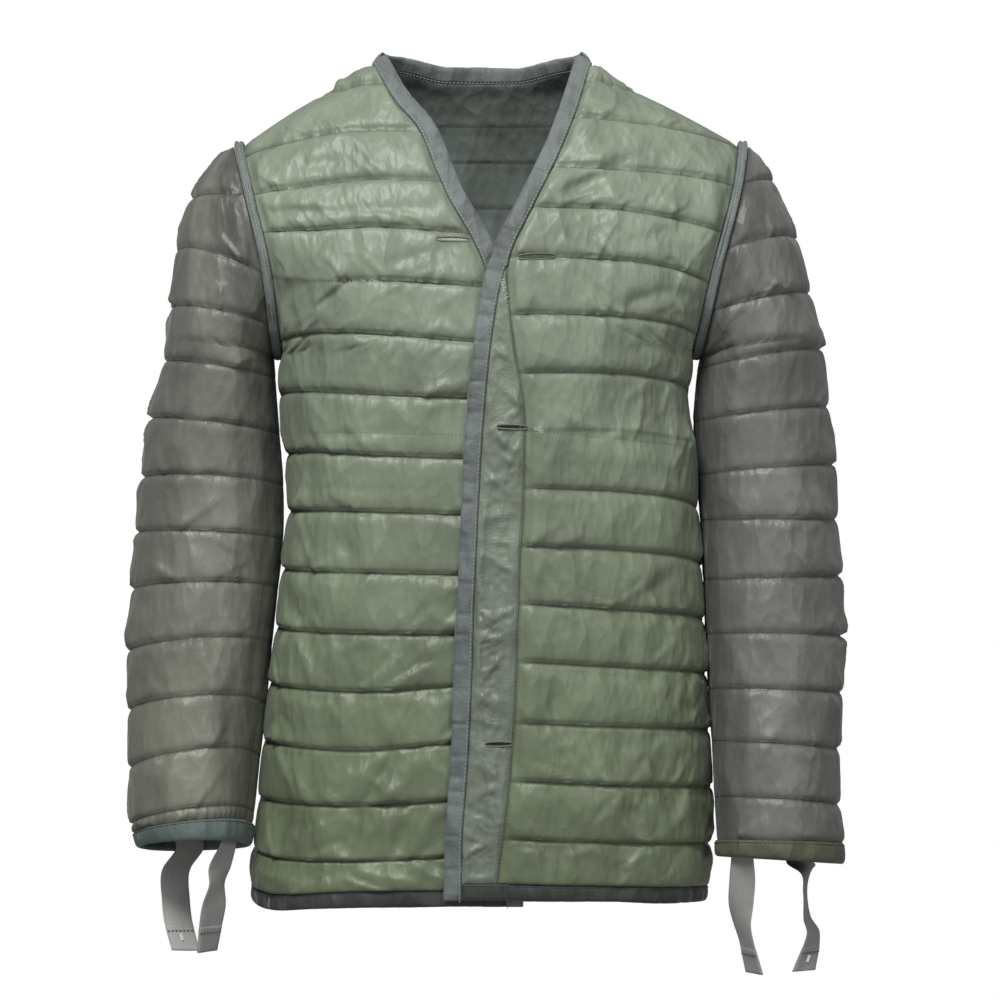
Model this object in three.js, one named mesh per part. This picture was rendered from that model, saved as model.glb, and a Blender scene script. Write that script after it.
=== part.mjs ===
// A quilted button-in jacket liner, filled out as if worn.
// Millimetres, +Z up, the front faces -Y. The origin is level with the neck points, over the middle of the body.
// Right and left are the wearer's: the right side is at negative X.
import * as THREE from 'three';

// Cloth
const WALL = 2; // the quilted cloth at a stitching line
const SEAM_GAP = 0.3; // between two pieces that are sewn together
const PUFF = 5; // how far a channel of the body stands above its stitching lines
const SLEEVE_PUFF = 3.6;
const SIDE_PUFF_SHARE = 0.6; // a channel is flatter where it crosses a side seam
const UNDERARM_PUFF_SHARE = 0.1; // and nearly flat where the sleeve lies against the body
const PINCHED = 16; // cloth this near an armhole or a neck tape is drawn flat
const OVERLAP_OUT = 5; // the left front lies this far out where it covers the right front
const OVERLAP_IN = 4.5; // and the right front this far in
const SECTION_POWER = 2.3; // 2 is an ellipse, more is squarer

// Numbers of faces
const FRONT_COLUMNS = 10;
const BACK_COLUMNS = 16;
const SLEEVE_COLUMNS = 18;
const CROWN_ROWS = [0.25, 0.75]; // rows between two stitching lines, as shares of the channel

// The body's level sections, as half widths to the right and left and depths to the front and back.
const SHOULDERS = [
  { z: 14, right: 91, left: 81, front: 50, back: 72 },
  { z: -6, right: 102, left: 93, front: 52, back: 78 },
  { z: -20, right: 132, left: 122, front: 58, back: 88 },
  { z: -40, right: 170, left: 166, front: 72, back: 99 },
  { z: -73, right: 218.7, left: 225.7, front: 90, back: 112 },
];
const CHEST = [
  { z: -120, front: 106, back: 121 },
  { z: -167, front: 115, back: 125 },
  { z: -215, front: 120, back: 124 },
];
const TRUNK = [
  { z: -262, right: 182.7, left: 182.7, front: 122, back: 120 },
  { z: -300, right: 184, left: 178, front: 121, back: 116 },
  { z: -350, right: 178, left: 183, front: 120, back: 112 },
  { z: -400, right: 176, left: 187, front: 120, back: 111 },
  { z: -450, right: 181, left: 190, front: 120, back: 113 },
  { z: -505, right: 187, left: 192, front: 121, back: 116 },
  { z: -555, right: 193, left: 194, front: 122, back: 119 },
  { z: -605, right: 198, left: 197, front: 123, back: 121 },
  { z: -655, right: 202, left: 199, front: 124, back: 123 },
  { z: -700, right: 206, left: 198, front: 125, back: 125 },
  { z: -755, right: 210, left: 195, front: 126, back: 127 },
];
const SHOULDER_SET_BACK = [
  { z: 14, y: 8 },
  { z: -73, y: 4 },
  { z: -262, y: 0 },
];

// Each armhole is a loop seen as an ellipse from the side. right and left are how far out it runs.
const ARMHOLE_TOP = -73;
const ARMHOLE_BOTTOM = -262;
const ARMHOLE_HALF_DEPTH = 78;
const ARMHOLE = [
  { z: -73, right: 223, left: 230 },
  { z: -120, right: 210, left: 220.5 },
  { z: -190, right: 193.5, left: 202 },
  { z: -262, right: 187, left: 187 },
];
const ARMHOLE_TAPE_HALF = 4;
const ARMHOLE_HALF_SEAM = ARMHOLE_TAPE_HALF + 0.5;
const ARMHOLE_STANDS = 6;
const ARMHOLE_STANDS_BELOW = 3;

// The front edges: where the edge tape starts, and where the quilting ends.
const RIGHT_EDGE = [
  { z: -6, tape: -103, quilting: -103 },
  { z: -32, tape: -86, quilting: -86 },
  { z: -64, tape: -60, quilting: -60 },
  { z: -98, tape: -45, quilting: -45 },
  { z: -129, tape: -31, quilting: -31 },
  { z: -158, tape: -14, quilting: -14 },
  { z: -184, tape: -2, quilting: -2 },
  { z: -210, tape: 6, quilting: 6 },
  { z: -260, tape: 11, quilting: 11 },
  { z: -400, tape: 15, quilting: 15 },
  { z: -755, tape: 18, quilting: 18 },
];
const LEFT_EDGE = [
  { z: -6, tape: 93, quilting: 93 },
  { z: -37, tape: 82, quilting: 82 },
  { z: -84, tape: 64, quilting: 64 },
  { z: -134, tape: 40.5, quilting: 40.5 },
  { z: -182, tape: 18.5, quilting: 18.5 },
  { z: -215, tape: 9, quilting: 19 },
  { z: -260, tape: 2.5, quilting: 24 },
  { z: -313, tape: -3, quilting: 33 },
  { z: -360, tape: -6, quilting: 33 },
  { z: -475, tape: -11.5, quilting: 28 },
  { z: -560, tape: -14.2, quilting: 25.3 },
  { z: -620, tape: -17.2, quilting: 21.7 },
  { z: -660, tape: -20.3, quilting: 17.5 },
  { z: -700, tape: -22.3, quilting: 12.5 },
  { z: -735, tape: -22, quilting: 8 },
];
const FRONT_TOP = -9;
const NECK = -6;
const STRIP_TOP = -189;
const STRIP_GAP = 0.6;
const STRIP_WALL = 2.6;

// Stitching lines from the hem up, as heights at the front edge, at a third and two thirds, and at the side.
const RIGHT_FRONT_LINES = [
  { line: 'hem', edge: -729, inner: -731, outer: -738, side: -735 },
  { line: 'channel 1', edge: -697, inner: -704, outer: -706, side: -700 },
  { line: 'channel 2', edge: -648, inner: -656, outer: -657, side: -656 },
  { line: 'channel 3', edge: -597, inner: -608, outer: -607, side: -604 },
  { line: 'channel 4', edge: -549, inner: -557, outer: -556, side: -554 },
  { line: 'channel 5', edge: -507, inner: -507, outer: -506, side: -504 },
  { line: 'channel 6', edge: -456, inner: -454, outer: -453, side: -452 },
  { line: 'channel 7', edge: -404, inner: -401, outer: -400, side: -401 },
  { line: 'channel 8', edge: -355, inner: -352, outer: -348, side: -350 },
  { line: 'channel 9', edge: -303, inner: -299, outer: -295, side: -297 },
  { line: 'channel 10', edge: -255, inner: -247, outer: -244, side: -249 },
  { line: 'channel 11', edge: -205, inner: -200, outer: -199, side: -194 },
  { line: 'channel 12', edge: -158, inner: -153, outer: -155, side: -155 },
  { line: 'channel 13', edge: -112, inner: -111, outer: -117, side: -121 },
  { line: 'channel 14', edge: -67, inner: -67, outer: -75, side: -85 },
  { line: 'channel 15', edge: -27, inner: -27, outer: -29, side: -31 },
  { line: 'neck', edge: FRONT_TOP, inner: FRONT_TOP, outer: FRONT_TOP, side: FRONT_TOP },
];
// One line has come undone on this side, so two channels puff up as one.
const LEFT_FRONT_LINES = [
  { line: 'hem', edge: -723, inner: -727, outer: -732, side: -737 },
  { line: 'channel 1', edge: -683, inner: -689, outer: -693, side: -698 },
  { line: 'channel 2', edge: -633, inner: -639, outer: -643, side: -647 },
  { line: 'channel 3', edge: -583, inner: -588, outer: -592, side: -597 },
  { line: 'channel 4', edge: -530, inner: -536, outer: -541, side: -547 },
  { line: 'channel 5', edge: -480, inner: -486, outer: -491, side: -499 },
  { line: 'channel 6', edge: -430, inner: -434, outer: -440, side: -449 },
  { line: 'channel 7', edge: -380, inner: -383, outer: -389, side: -400 },
  { line: 'channel 8', edge: -330, inner: -330, outer: -337, side: -346, undone: true },
  { line: 'channel 9', edge: -280, inner: -280, outer: -285, side: -293 },
  { line: 'channel 10', edge: -230, inner: -230, outer: -235, side: -244 },
  { line: 'channel 11', edge: -180, inner: -181, outer: -187, side: -199 },
  { line: 'channel 12', edge: -137, inner: -137, outer: -145, side: -155 },
  { line: 'channel 13', edge: -100, inner: -102, outer: -106, side: -113 },
  { line: 'channel 14', edge: -54, inner: -59, outer: -66, side: -77 },
  { line: 'channel 15', edge: -25, inner: -26, outer: -28, side: -31 },
  { line: 'neck', edge: FRONT_TOP, inner: FRONT_TOP, outer: FRONT_TOP, side: FRONT_TOP },
];
const BACK_HEM = -737;
const BACK_LINES = [BACK_HEM, -700, -653, -603, -553, -503, -452, -400, -350, -299, -249,
  -203, -158, -118, -76, -43, NECK].map((z, i) => (
  { line: `line ${i}`, edge: z, inner: z, outer: z, side: z }
));
const NECK_PUFF_SHARE = 0.25; // the back's top channels are nearly flat over the shoulders

// The largest folds on the fronts: soft ridges from one point to another.
const RIGHT_FOLDS = [
  { x1: -200, z1: -128, x2: -60, z2: -150, rise: 3.5, half: 12 },
  { x1: -60, z1: -600, x2: -105, z2: -690, rise: 3.5, half: 14 },
  { x1: -40, z1: -640, x2: -70, z2: -700, rise: 3, half: 12 },
  { x1: -205, z1: -712, x2: -165, z2: -722, rise: 4, half: 14 },
];
const LEFT_FOLDS = [
  { x1: 50, z1: -126, x2: 130, z2: -80, rise: 4, half: 14 },
  { x1: 60, z1: -330, x2: 150, z2: -345, rise: 2.5, half: 16 },
  { x1: 90, z1: -610, x2: 130, z2: -690, rise: 3, half: 14 },
];

// Each sleeve's stitching lines from the shoulder down. The inner point lies at the armhole or beside the
// body. lift is how much higher the line runs at the front than at the back, and rear is how far the cloth
// behind the arm swings in towards the body.
const RIGHT_SLEEVE_LINES = [
  { innerX: 0, innerZ: -74, outerX: 229.5, outerZ: -73, lift: 0, y: 4, halfDepth: 78, rear: 0 },
  { innerX: 0, innerZ: -121, outerX: 264, outerZ: -121, lift: 2, y: 3, halfDepth: 78, rear: 0 },
  { innerX: 0, innerZ: -190, outerX: 276.5, outerZ: -169, lift: 7, y: 2, halfDepth: 78, rear: 0 },
  { innerX: 0, innerZ: -234, outerX: 281, outerZ: -219, lift: 4, y: 1, halfDepth: 77, rear: 0 },
  { innerX: 190.8, innerZ: -281, outerX: 287.5, outerZ: -267, lift: 3, y: 0, halfDepth: 74, rear: 0 },
  { innerX: 188, innerZ: -331, outerX: 300, outerZ: -318, lift: 4, y: 0, halfDepth: 68, rear: 4 },
  { innerX: 184.5, innerZ: -377, outerX: 307, outerZ: -371, lift: 6, y: -2, halfDepth: 63, rear: 4 },
  { innerX: 184.3, innerZ: -425, outerX: 312, outerZ: -420, lift: 5, y: -6, halfDepth: 59, rear: 4 },
  { innerX: 188.5, innerZ: -469, outerX: 315.5, outerZ: -471, lift: 8, y: -13, halfDepth: 57, rear: 4 },
  { innerX: 195, innerZ: -517, outerX: 318, outerZ: -526, lift: 10, y: -22, halfDepth: 55.5, rear: 8 },
  { innerX: 201.5, innerZ: -569, outerX: 316, outerZ: -578, lift: 12, y: -33, halfDepth: 54, rear: 11 },
  { innerX: 207, innerZ: -614, outerX: 314.5, outerZ: -629, lift: 13, y: -44, halfDepth: 52, rear: 12 },
  { innerX: 212, innerZ: -663, outerX: 312, outerZ: -677, lift: 11, y: -54, halfDepth: 49.5, rear: 12 },
  { innerX: 216, innerZ: -694, outerX: 306.5, outerZ: -697.5, lift: 9, y: -59, halfDepth: 47, rear: 11 },
];
const LEFT_SLEEVE_LINES = [
  { innerX: 0, innerZ: -74, outerX: 236.5, outerZ: -73, lift: 0, y: 4, halfDepth: 78, rear: 0 },
  { innerX: 0, innerZ: -110, outerX: 254, outerZ: -106, lift: 2, y: 3, halfDepth: 78, rear: 0 },
  { innerX: 0, innerZ: -169, outerX: 275.5, outerZ: -157, lift: 4, y: 2, halfDepth: 78, rear: 0 },
  { innerX: 0, innerZ: -223, outerX: 288, outerZ: -206, lift: 3, y: 1, halfDepth: 78, rear: 0 },
  { innerX: 189.5, innerZ: -274, outerX: 298.5, outerZ: -256, lift: 3, y: 0, halfDepth: 74, rear: 0 },
  { innerX: 187, innerZ: -320, outerX: 304.5, outerZ: -307, lift: 2, y: -1, halfDepth: 68, rear: 4 },
  { innerX: 190.5, innerZ: -368, outerX: 309.5, outerZ: -359, lift: 2, y: -4, halfDepth: 64, rear: 6 },
  { innerX: 193.2, innerZ: -408, outerX: 311.5, outerZ: -408, lift: 1, y: -9, halfDepth: 62, rear: 6 },
  { innerX: 195.6, innerZ: -461, outerX: 314, outerZ: -458, lift: 1, y: -15, halfDepth: 60, rear: 6 },
  { innerX: 197.3, innerZ: -510, outerX: 315, outerZ: -512, lift: 4, y: -23, halfDepth: 58, rear: 6 },
  { innerX: 199.6, innerZ: -558, outerX: 314, outerZ: -562, lift: 4, y: -32, halfDepth: 56, rear: 7 },
  { innerX: 203, innerZ: -604, outerX: 310.5, outerZ: -611, lift: 4.5, y: -41, halfDepth: 54, rear: 8 },
  { innerX: 205, innerZ: -653, outerX: 310, outerZ: -660, lift: 6, y: -50, halfDepth: 52, rear: 8 },
  { innerX: 205.5, innerZ: -692, outerX: 313.5, outerZ: -695, lift: 6, y: -56, halfDepth: 51, rear: 5 },
  { innerX: 206, innerZ: -705, outerX: 313.5, outerZ: -712, lift: 5, y: -58, halfDepth: 50, rear: 4 },
];
const RIGHT_CUFF = { quiltingEnds: 12.35, tapeEnds: 13 }; // in stitching lines down the sleeve
const LEFT_CUFF = { quiltingEnds: 13, tapeEnds: 14 };
const CAP_ROUNDNESS = 0.6;
const CUFF_GAP = 0.6; // the cuff tape starts this far below the quilting

// Tapes, as half sections: how far across from the seam, and how far out from the cloth.
const EDGE_TAPE = { width: 14, outer: 2.6, inner: 2.4 };
const HEM_TAPE = { width: 13, outer: 2.6, inner: 2.4 };
const NECK_TAPE_LEAN = 0.6; // the tape stands up around the neck

// Webbing tabs. turn is how far the tab is turned about its length from facing forward, in degrees.
const WEBBING = { width: 25, thick: 1.6, foldedEnd: 22, foldedThick: 3.6 };
// clear is from the cuff's middle surface in to the tab's, so that the tab's flat edges just clear the cuff.
const TABS = [
  {
    name: 'tab_right_outer', sleeve: 'right', angle: 263, clear: 5.6, hang: [
      { x: -278, y: -24, z: -722, turn: 4 },
      { x: -277, y: -32, z: -748, turn: 2 },
      { x: -274, y: -40, z: -766, turn: 8 },
      { x: -267, y: -47, z: -790, turn: -4 },
    ],
  },
  {
    name: 'tab_right_inner', sleeve: 'right', angle: 28, clear: 5.3, hang: [
      { x: -234, y: -78, z: -712, turn: 44 },
      { x: -237, y: -76, z: -728, turn: 62 },
      { x: -240, y: -74, z: -748, turn: 38 },
      { x: -243, y: -72, z: -766, turn: 42 },
      { x: -246, y: -70, z: -788, turn: 52 },
    ],
  },
  {
    name: 'tab_left_inner', sleeve: 'left', angle: 42, clear: 5.6, hang: [
      { x: 224, y: -84, z: -724, turn: -30 },
      { x: 223, y: -82, z: -744, turn: -34 },
      { x: 224, y: -80, z: -762, turn: -56 },
      { x: 228, y: -79, z: -778, turn: -63 },
      { x: 235, y: -79, z: -806, turn: -58 },
    ],
  },
  {
    name: 'tab_left_outer', sleeve: 'left', angle: 246, clear: 5.1, hang: [
      { x: 285, y: -24, z: -722, turn: 60 },
      { x: 284, y: -28, z: -740, turn: 78 },
      { x: 285, y: -34, z: -762, turn: 72 },
      { x: 290, y: -40, z: -776, turn: 58 },
      { x: 281, y: -48, z: -808, turn: 32 },
    ],
  },
];

const vector = (x, y, z) => new THREE.Vector3(x, y, z);
const mix = THREE.MathUtils.lerp;
const smooth = (at, from, to) => THREE.MathUtils.smoothstep(at, from, to);
const signedPower = (value, power) => Math.sign(value) * Math.abs(value) ** power;

// One column of a table as a smooth curve through its rows.
function curve(rows, by, of) {
  const points = [...rows].sort((a, b) => a[by] - b[by]);
  const slopes = points.map((_, i) => {
    const before = points[Math.max(i - 1, 0)];
    const after = points[Math.min(i + 1, points.length - 1)];
    return (after[of] - before[of]) / (after[by] - before[by]);
  });
  return (at) => {
    const place = THREE.MathUtils.clamp(at, points[0][by], points.at(-1)[by]);
    const found = points.findIndex((p, i) => i > 0 && place <= p[by]);
    const [a, b] = [points[found - 1], points[found]];
    const span = b[by] - a[by];
    const t = (place - a[by]) / span;
    return a[of] * (2 * t ** 3 - 3 * t ** 2 + 1) + slopes[found - 1] * span * (t ** 3 - 2 * t ** 2 + t)
      + b[of] * (3 * t ** 2 - 2 * t ** 3) + slopes[found] * span * (t ** 3 - t ** 2);
  };
}

const centreY = curve(SHOULDER_SET_BACK, 'z', 'y');
const ALL_SECTIONS = [...SHOULDERS, ...CHEST, ...TRUNK];
const depth = { front: curve(ALL_SECTIONS, 'z', 'front'), back: curve(ALL_SECTIONS, 'z', 'back') };
const SIDES = Object.fromEntries([['right', -1, RIGHT_EDGE], ['left', 1, LEFT_EDGE]].map(([side, sign, edge]) => [side, {
  sign,
  shoulder: curve(SHOULDERS, 'z', side),
  trunk: curve(TRUNK, 'z', side),
  armhole: curve(ARMHOLE, 'z', side),
  tapeX: curve(edge, 'z', 'tape'),
  quiltingX: curve(edge, 'z', 'quilting'),
}]));

// How far the armhole reaches forward and back of its middle at a height.
function armholeReach(z) {
  const middle = (ARMHOLE_TOP + ARMHOLE_BOTTOM) / 2;
  const half = (ARMHOLE_TOP - ARMHOLE_BOTTOM) / 2;
  return ARMHOLE_HALF_DEPTH * Math.sqrt(Math.max(0, 1 - ((z - middle) / half) ** 2));
}

// The half width of the body's section. Between the top and bottom of the armhole the section is as wide
// as it takes to pass through the armhole's seam.
function halfWidth(side, z, face) {
  if (z >= ARMHOLE_TOP) return side.shoulder(z);
  if (z <= ARMHOLE_BOTTOM) return side.trunk(z);
  const share = 1 - (armholeReach(z) / depth[face](z)) ** SECTION_POWER;
  return (side.armhole(z) - ARMHOLE_HALF_SEAM) / share ** (1 / SECTION_POWER);
}

// A point of the body's surface. angle is 0 at the side seam and 90 degrees at the centre line, and past
// that the point lies on the other half.
function bodyPoint(side, face, angle, z) {
  const half = Math.cos(angle) >= 0 ? side : Object.values(SIDES).find((other) => other !== side);
  const towards = face === 'front' ? -1 : 1;
  return vector(
    side.sign * signedPower(Math.cos(angle), 2 / SECTION_POWER) * halfWidth(half, z, face),
    centreY(z) + towards * (depth[face](z) * Math.abs(Math.sin(angle)) ** (2 / SECTION_POWER) + SEAM_GAP / 2),
    z,
  );
}

// The angle at which the front's surface has this x.
function angleAt(side, face, x, z) {
  const across = x * side.sign;
  const half = across >= 0 ? side : Object.values(SIDES).find((other) => other !== side);
  const share = Math.min(1, Math.abs(across) / halfWidth(half, z, face));
  return Math.acos(Math.sign(across || 1) * share ** (SECTION_POWER / 2));
}

// The angle at which a panel ends: at the armhole's seam, or else at the shoulder or side seam.
function outerAngle(face, z) {
  return Math.asin(Math.min(1, (armholeReach(z) / depth[face](z)) ** (SECTION_POWER / 2)));
}

// The surface's outward direction, from two small steps along it.
const EDGE_STEP = 2e-3; // directions at a border are taken this far inside it
function normalOf(surface, u, v, outward) {
  const step = EDGE_STEP / 2;
  const across = surface(u + step, v).sub(surface(u - step, v));
  const along = surface(u, v + step).sub(surface(u, v - step));
  const normal = across.cross(along).normalize();
  return normal.dot(outward) < 0 ? normal.negate() : normal;
}

function foldRise(folds, point) {
  return folds.reduce((rise, fold) => {
    const along = new THREE.Vector2(fold.x2 - fold.x1, fold.z2 - fold.z1);
    const from = new THREE.Vector2(point.x - fold.x1, point.z - fold.z1);
    const share = THREE.MathUtils.clamp(from.dot(along) / along.lengthSq(), 0, 1);
    const away = from.sub(along.multiplyScalar(share)).length();
    return rise + fold.rise * Math.exp(-((away / fold.half) ** 2)) * Math.sin(Math.PI * mix(0.15, 0.85, share));
  }, 0);
}

// How far the fronts are moved out or in where one covers the other.
function overlapShift(side, point) {
  const below = smooth(-point.z, 60, 170);
  return side === SIDES.left
    ? OVERLAP_OUT * below * (1 - smooth(point.x, 35, 95))
    : -OVERLAP_IN * below * smooth(point.x, -110, -50);
}

// The points of an armhole's seam, to measure from.
const armholeLoops = Object.fromEntries(Object.entries(SIDES).map(([name, side]) => [name,
  Array.from({ length: 48 }, (_, i) => armholePoint(side, (i / 48) * 2 * Math.PI))]));

function armholePoint(side, angle) {
  const z = (ARMHOLE_TOP + ARMHOLE_BOTTOM) / 2 + ((ARMHOLE_TOP - ARMHOLE_BOTTOM) / 2) * Math.cos(angle);
  return vector(side.sign * side.armhole(z), centreY(z) - ARMHOLE_HALF_DEPTH * Math.sin(angle), z);
}

function armholeFade(name, point) {
  const nearest = Math.min(...armholeLoops[name].map((at) => at.distanceTo(point)));
  return smooth(nearest, ARMHOLE_HALF_SEAM + 1, PINCHED);
}

// A closed mesh from points and triangles, turned so that its faces point out.
function solid(name, points, triangles, colour, roughness) {
  const volume = triangles.reduce((sum, [a, b, c]) => (
    sum + points[a].dot(points[b].clone().cross(points[c]))), 0);
  const faces = volume < 0 ? triangles.map(([a, b, c]) => [a, c, b]) : triangles;
  const geometry = new THREE.BufferGeometry();
  geometry.setAttribute('position', new THREE.Float32BufferAttribute(points.flatMap((p) => [p.x, p.y, p.z]), 3));
  geometry.setIndex(faces.flat());
  geometry.computeVertexNormals();
  const mesh = new THREE.Mesh(geometry, new THREE.MeshStandardMaterial({ color: colour, roughness, metalness: 0 }));
  mesh.name = name;
  return mesh;
}

// Triangles between two lines of points that run the same way, whichever has more points.
function zip(a, b, shareA, shareB) {
  const triangles = [];
  let [i, j] = [0, 0];
  while (i < a.length - 1 || j < b.length - 1) {
    const stepA = j === b.length - 1 || (i < a.length - 1 && shareA[i + 1] <= shareB[j + 1]);
    triangles.push(stepA ? [a[i], a[i + 1], b[j]] : [a[i], b[j + 1], b[j]]);
    if (stepA) i += 1;
    else j += 1;
  }
  return triangles;
}

// A quilted piece of cloth: an outer side raised into channels, a plain inner side with fewer rows, and
// rims. place(u, v) gives a point of the seam-level surface with its direction out and its puff.
function quiltedCloth({ name, columns, outerRows, innerRows, place, wall, colour }) {
  const points = [];
  const grid = (rows, offset) => rows.map((v) => Array.from({ length: columns + 1 }, (_, j) => {
    const { at, out, puff } = place(j / columns, v);
    points.push(at.clone().addScaledVector(out, offset(puff)));
    return points.length - 1;
  }));
  const outer = grid(outerRows, (puff) => puff);
  const inner = grid(innerRows, () => -wall);
  const triangles = [];
  [[outer, false], [inner, true]].forEach(([rows, turned]) => {
    for (let i = 0; i < rows.length - 1; i += 1) {
      for (let j = 0; j < columns; j += 1) {
        const [a, b, c, d] = [rows[i][j], rows[i][j + 1], rows[i + 1][j + 1], rows[i + 1][j]];
        triangles.push(...(turned ? [[a, c, b], [a, d, c]] : [[a, b, c], [a, c, d]]));
      }
    }
  });
  const rim = (lineA, lineB, shareA, shareB, turned) => {
    const strip = zip(lineA, lineB, shareA, shareB);
    triangles.push(...(turned ? strip.map(([a, b, c]) => [a, c, b]) : strip));
  };
  const across = Array.from({ length: columns + 1 }, (_, j) => j);
  rim(outer[0], inner[0], across, across, true);
  rim(outer.at(-1), inner.at(-1), across, across, false);
  rim(outer.map((row) => row[0]), inner.map((row) => row[0]), outerRows, innerRows, false);
  rim(outer.map((row) => row[columns]), inner.map((row) => row[columns]), outerRows, innerRows, true);
  return solid(name, points, triangles, colour, 0.55);
}

// The rows of a piece with so many channels, with more rows where the armhole's curve needs them.
function rowsOf(channels, extra, last = channels) {
  const lines = Array.from({ length: channels + 1 }, (_, i) => i).filter((v) => v < last - 0.1);
  const crowns = lines.flatMap((v) => CROWN_ROWS.map((share) => v + share)).filter((v) => v < last - 0.1);
  const sorted = (rows) => [...rows].sort((a, b) => a - b).filter((v, i, all) => i === 0 || v - all[i - 1] > 0.02);
  return { outerRows: sorted([...lines, ...crowns, ...extra, last]), innerRows: sorted([...lines, ...extra, last]) };
}

// The row at which a rising or falling height is reached, by halving.
function rowAt(height, low, high, level) {
  let [a, b] = [low, high];
  const rising = height(high) > height(low);
  for (let i = 0; i < 40; i += 1) {
    const middle = (a + b) / 2;
    if ((height(middle) < level) === rising) a = middle;
    else b = middle;
  }
  return (a + b) / 2;
}

// Heights at which the armhole's curve is followed closely.
const ARMHOLE_LEVELS = [-74, -79, -88, -101, -138, -175, -208, -225, -241, -253, -260, ARMHOLE_BOTTOM];

// How full a channel is between its two sewn lines, from 0 at each line.
function channelPuff(lines, v) {
  const sewn = lines.map((_, i) => i).filter((i) => !lines[i].undone);
  const low = sewn.filter((i) => i <= v).at(-1);
  const high = sewn.find((i) => i > v) ?? low + 1;
  const share = (v - low) / (high - low);
  return (4 * share * (1 - share)) ** 0.6;
}

// A level piece of the body between two ends, with its stitching lines' heights from a table.
function bodyPlacer({ lines, ends, sideName, folds = [], puffAt = () => 1 }) {
  const columns = ['edge', 'inner', 'outer', 'side'];
  const byRow = columns.map((of) => curve(lines.map((row, i) => ({ ...row, i })), 'i', of));
  const height = (u, v) => curve(byRow.map((of, i) => ({ u: i / 3, z: of(v) })), 'u', 'z')(u);
  const surface = (u, v) => {
    const clampedU = THREE.MathUtils.clamp(u, 0, 1);
    const clampedV = THREE.MathUtils.clamp(v, 0, lines.length - 1);
    return ends(clampedU, height(0, clampedV), height(1, clampedV), height(clampedU, clampedV));
  };
  const side = SIDES[sideName];
  const [insideU, insideV] = [[EDGE_STEP, 1 - EDGE_STEP], [EDGE_STEP, lines.length - 1 - EDGE_STEP]];
  return (u, v) => {
    const at = surface(u, v);
    const out = normalOf(surface, THREE.MathUtils.clamp(u, ...insideU), THREE.MathUtils.clamp(v, ...insideV),
      vector(at.x, at.y * 2, 40));
    const atSeam = u === 1 || (!side && u === 0);
    const atArmhole = at.z < ARMHOLE_TOP && at.z > ARMHOLE_BOTTOM;
    if (atSeam && atArmhole) out.setX(0).normalize();
    if (atSeam && !atArmhole) out.setY(0).normalize();
    if (side) at.addScaledVector(out, overlapShift(side, at));
    const puff = (PUFF * channelPuff(lines, v) + foldRise(folds, at)) * puffAt(u, v, at);
    return { at, out, puff };
  };
}

function frontPlacer(sideName, lines, folds) {
  const side = SIDES[sideName];
  const ends = (u, edgeZ, sideZ, z) => {
    const from = angleAt(side, 'front', side.quiltingX(edgeZ), edgeZ);
    return bodyPoint(side, 'front', mix(from, outerAngle('front', sideZ), u), z);
  };
  const puffAt = (u, v, at) => smooth(u, 0, 0.09) * mix(1, SIDE_PUFF_SHARE, smooth(u, 0.85, 1))
    * armholeFade(sideName, at) * smooth(lines.length - 1 - v, 0, 0.5);
  return bodyPlacer({ lines, ends, sideName, folds, puffAt });
}

function backPlacer() {
  const ends = (u, edgeZ, sideZ, z) => {
    const outer = outerAngle('back', z);
    return bodyPoint(SIDES.right, 'back', mix(outer, Math.PI - outer, u), z);
  };
  const puffAt = (u, v, at) => mix(1, SIDE_PUFF_SHARE, smooth(Math.abs(u - 0.5), 0.42, 0.5))
    * armholeFade('right', at) * armholeFade('left', at)
    * mix(NECK_PUFF_SHARE, 1, smooth(BACK_LINES.length - 1 - v, 0, 3));
  return bodyPlacer({ lines: BACK_LINES, ends, sideName: null, puffAt });
}

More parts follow.
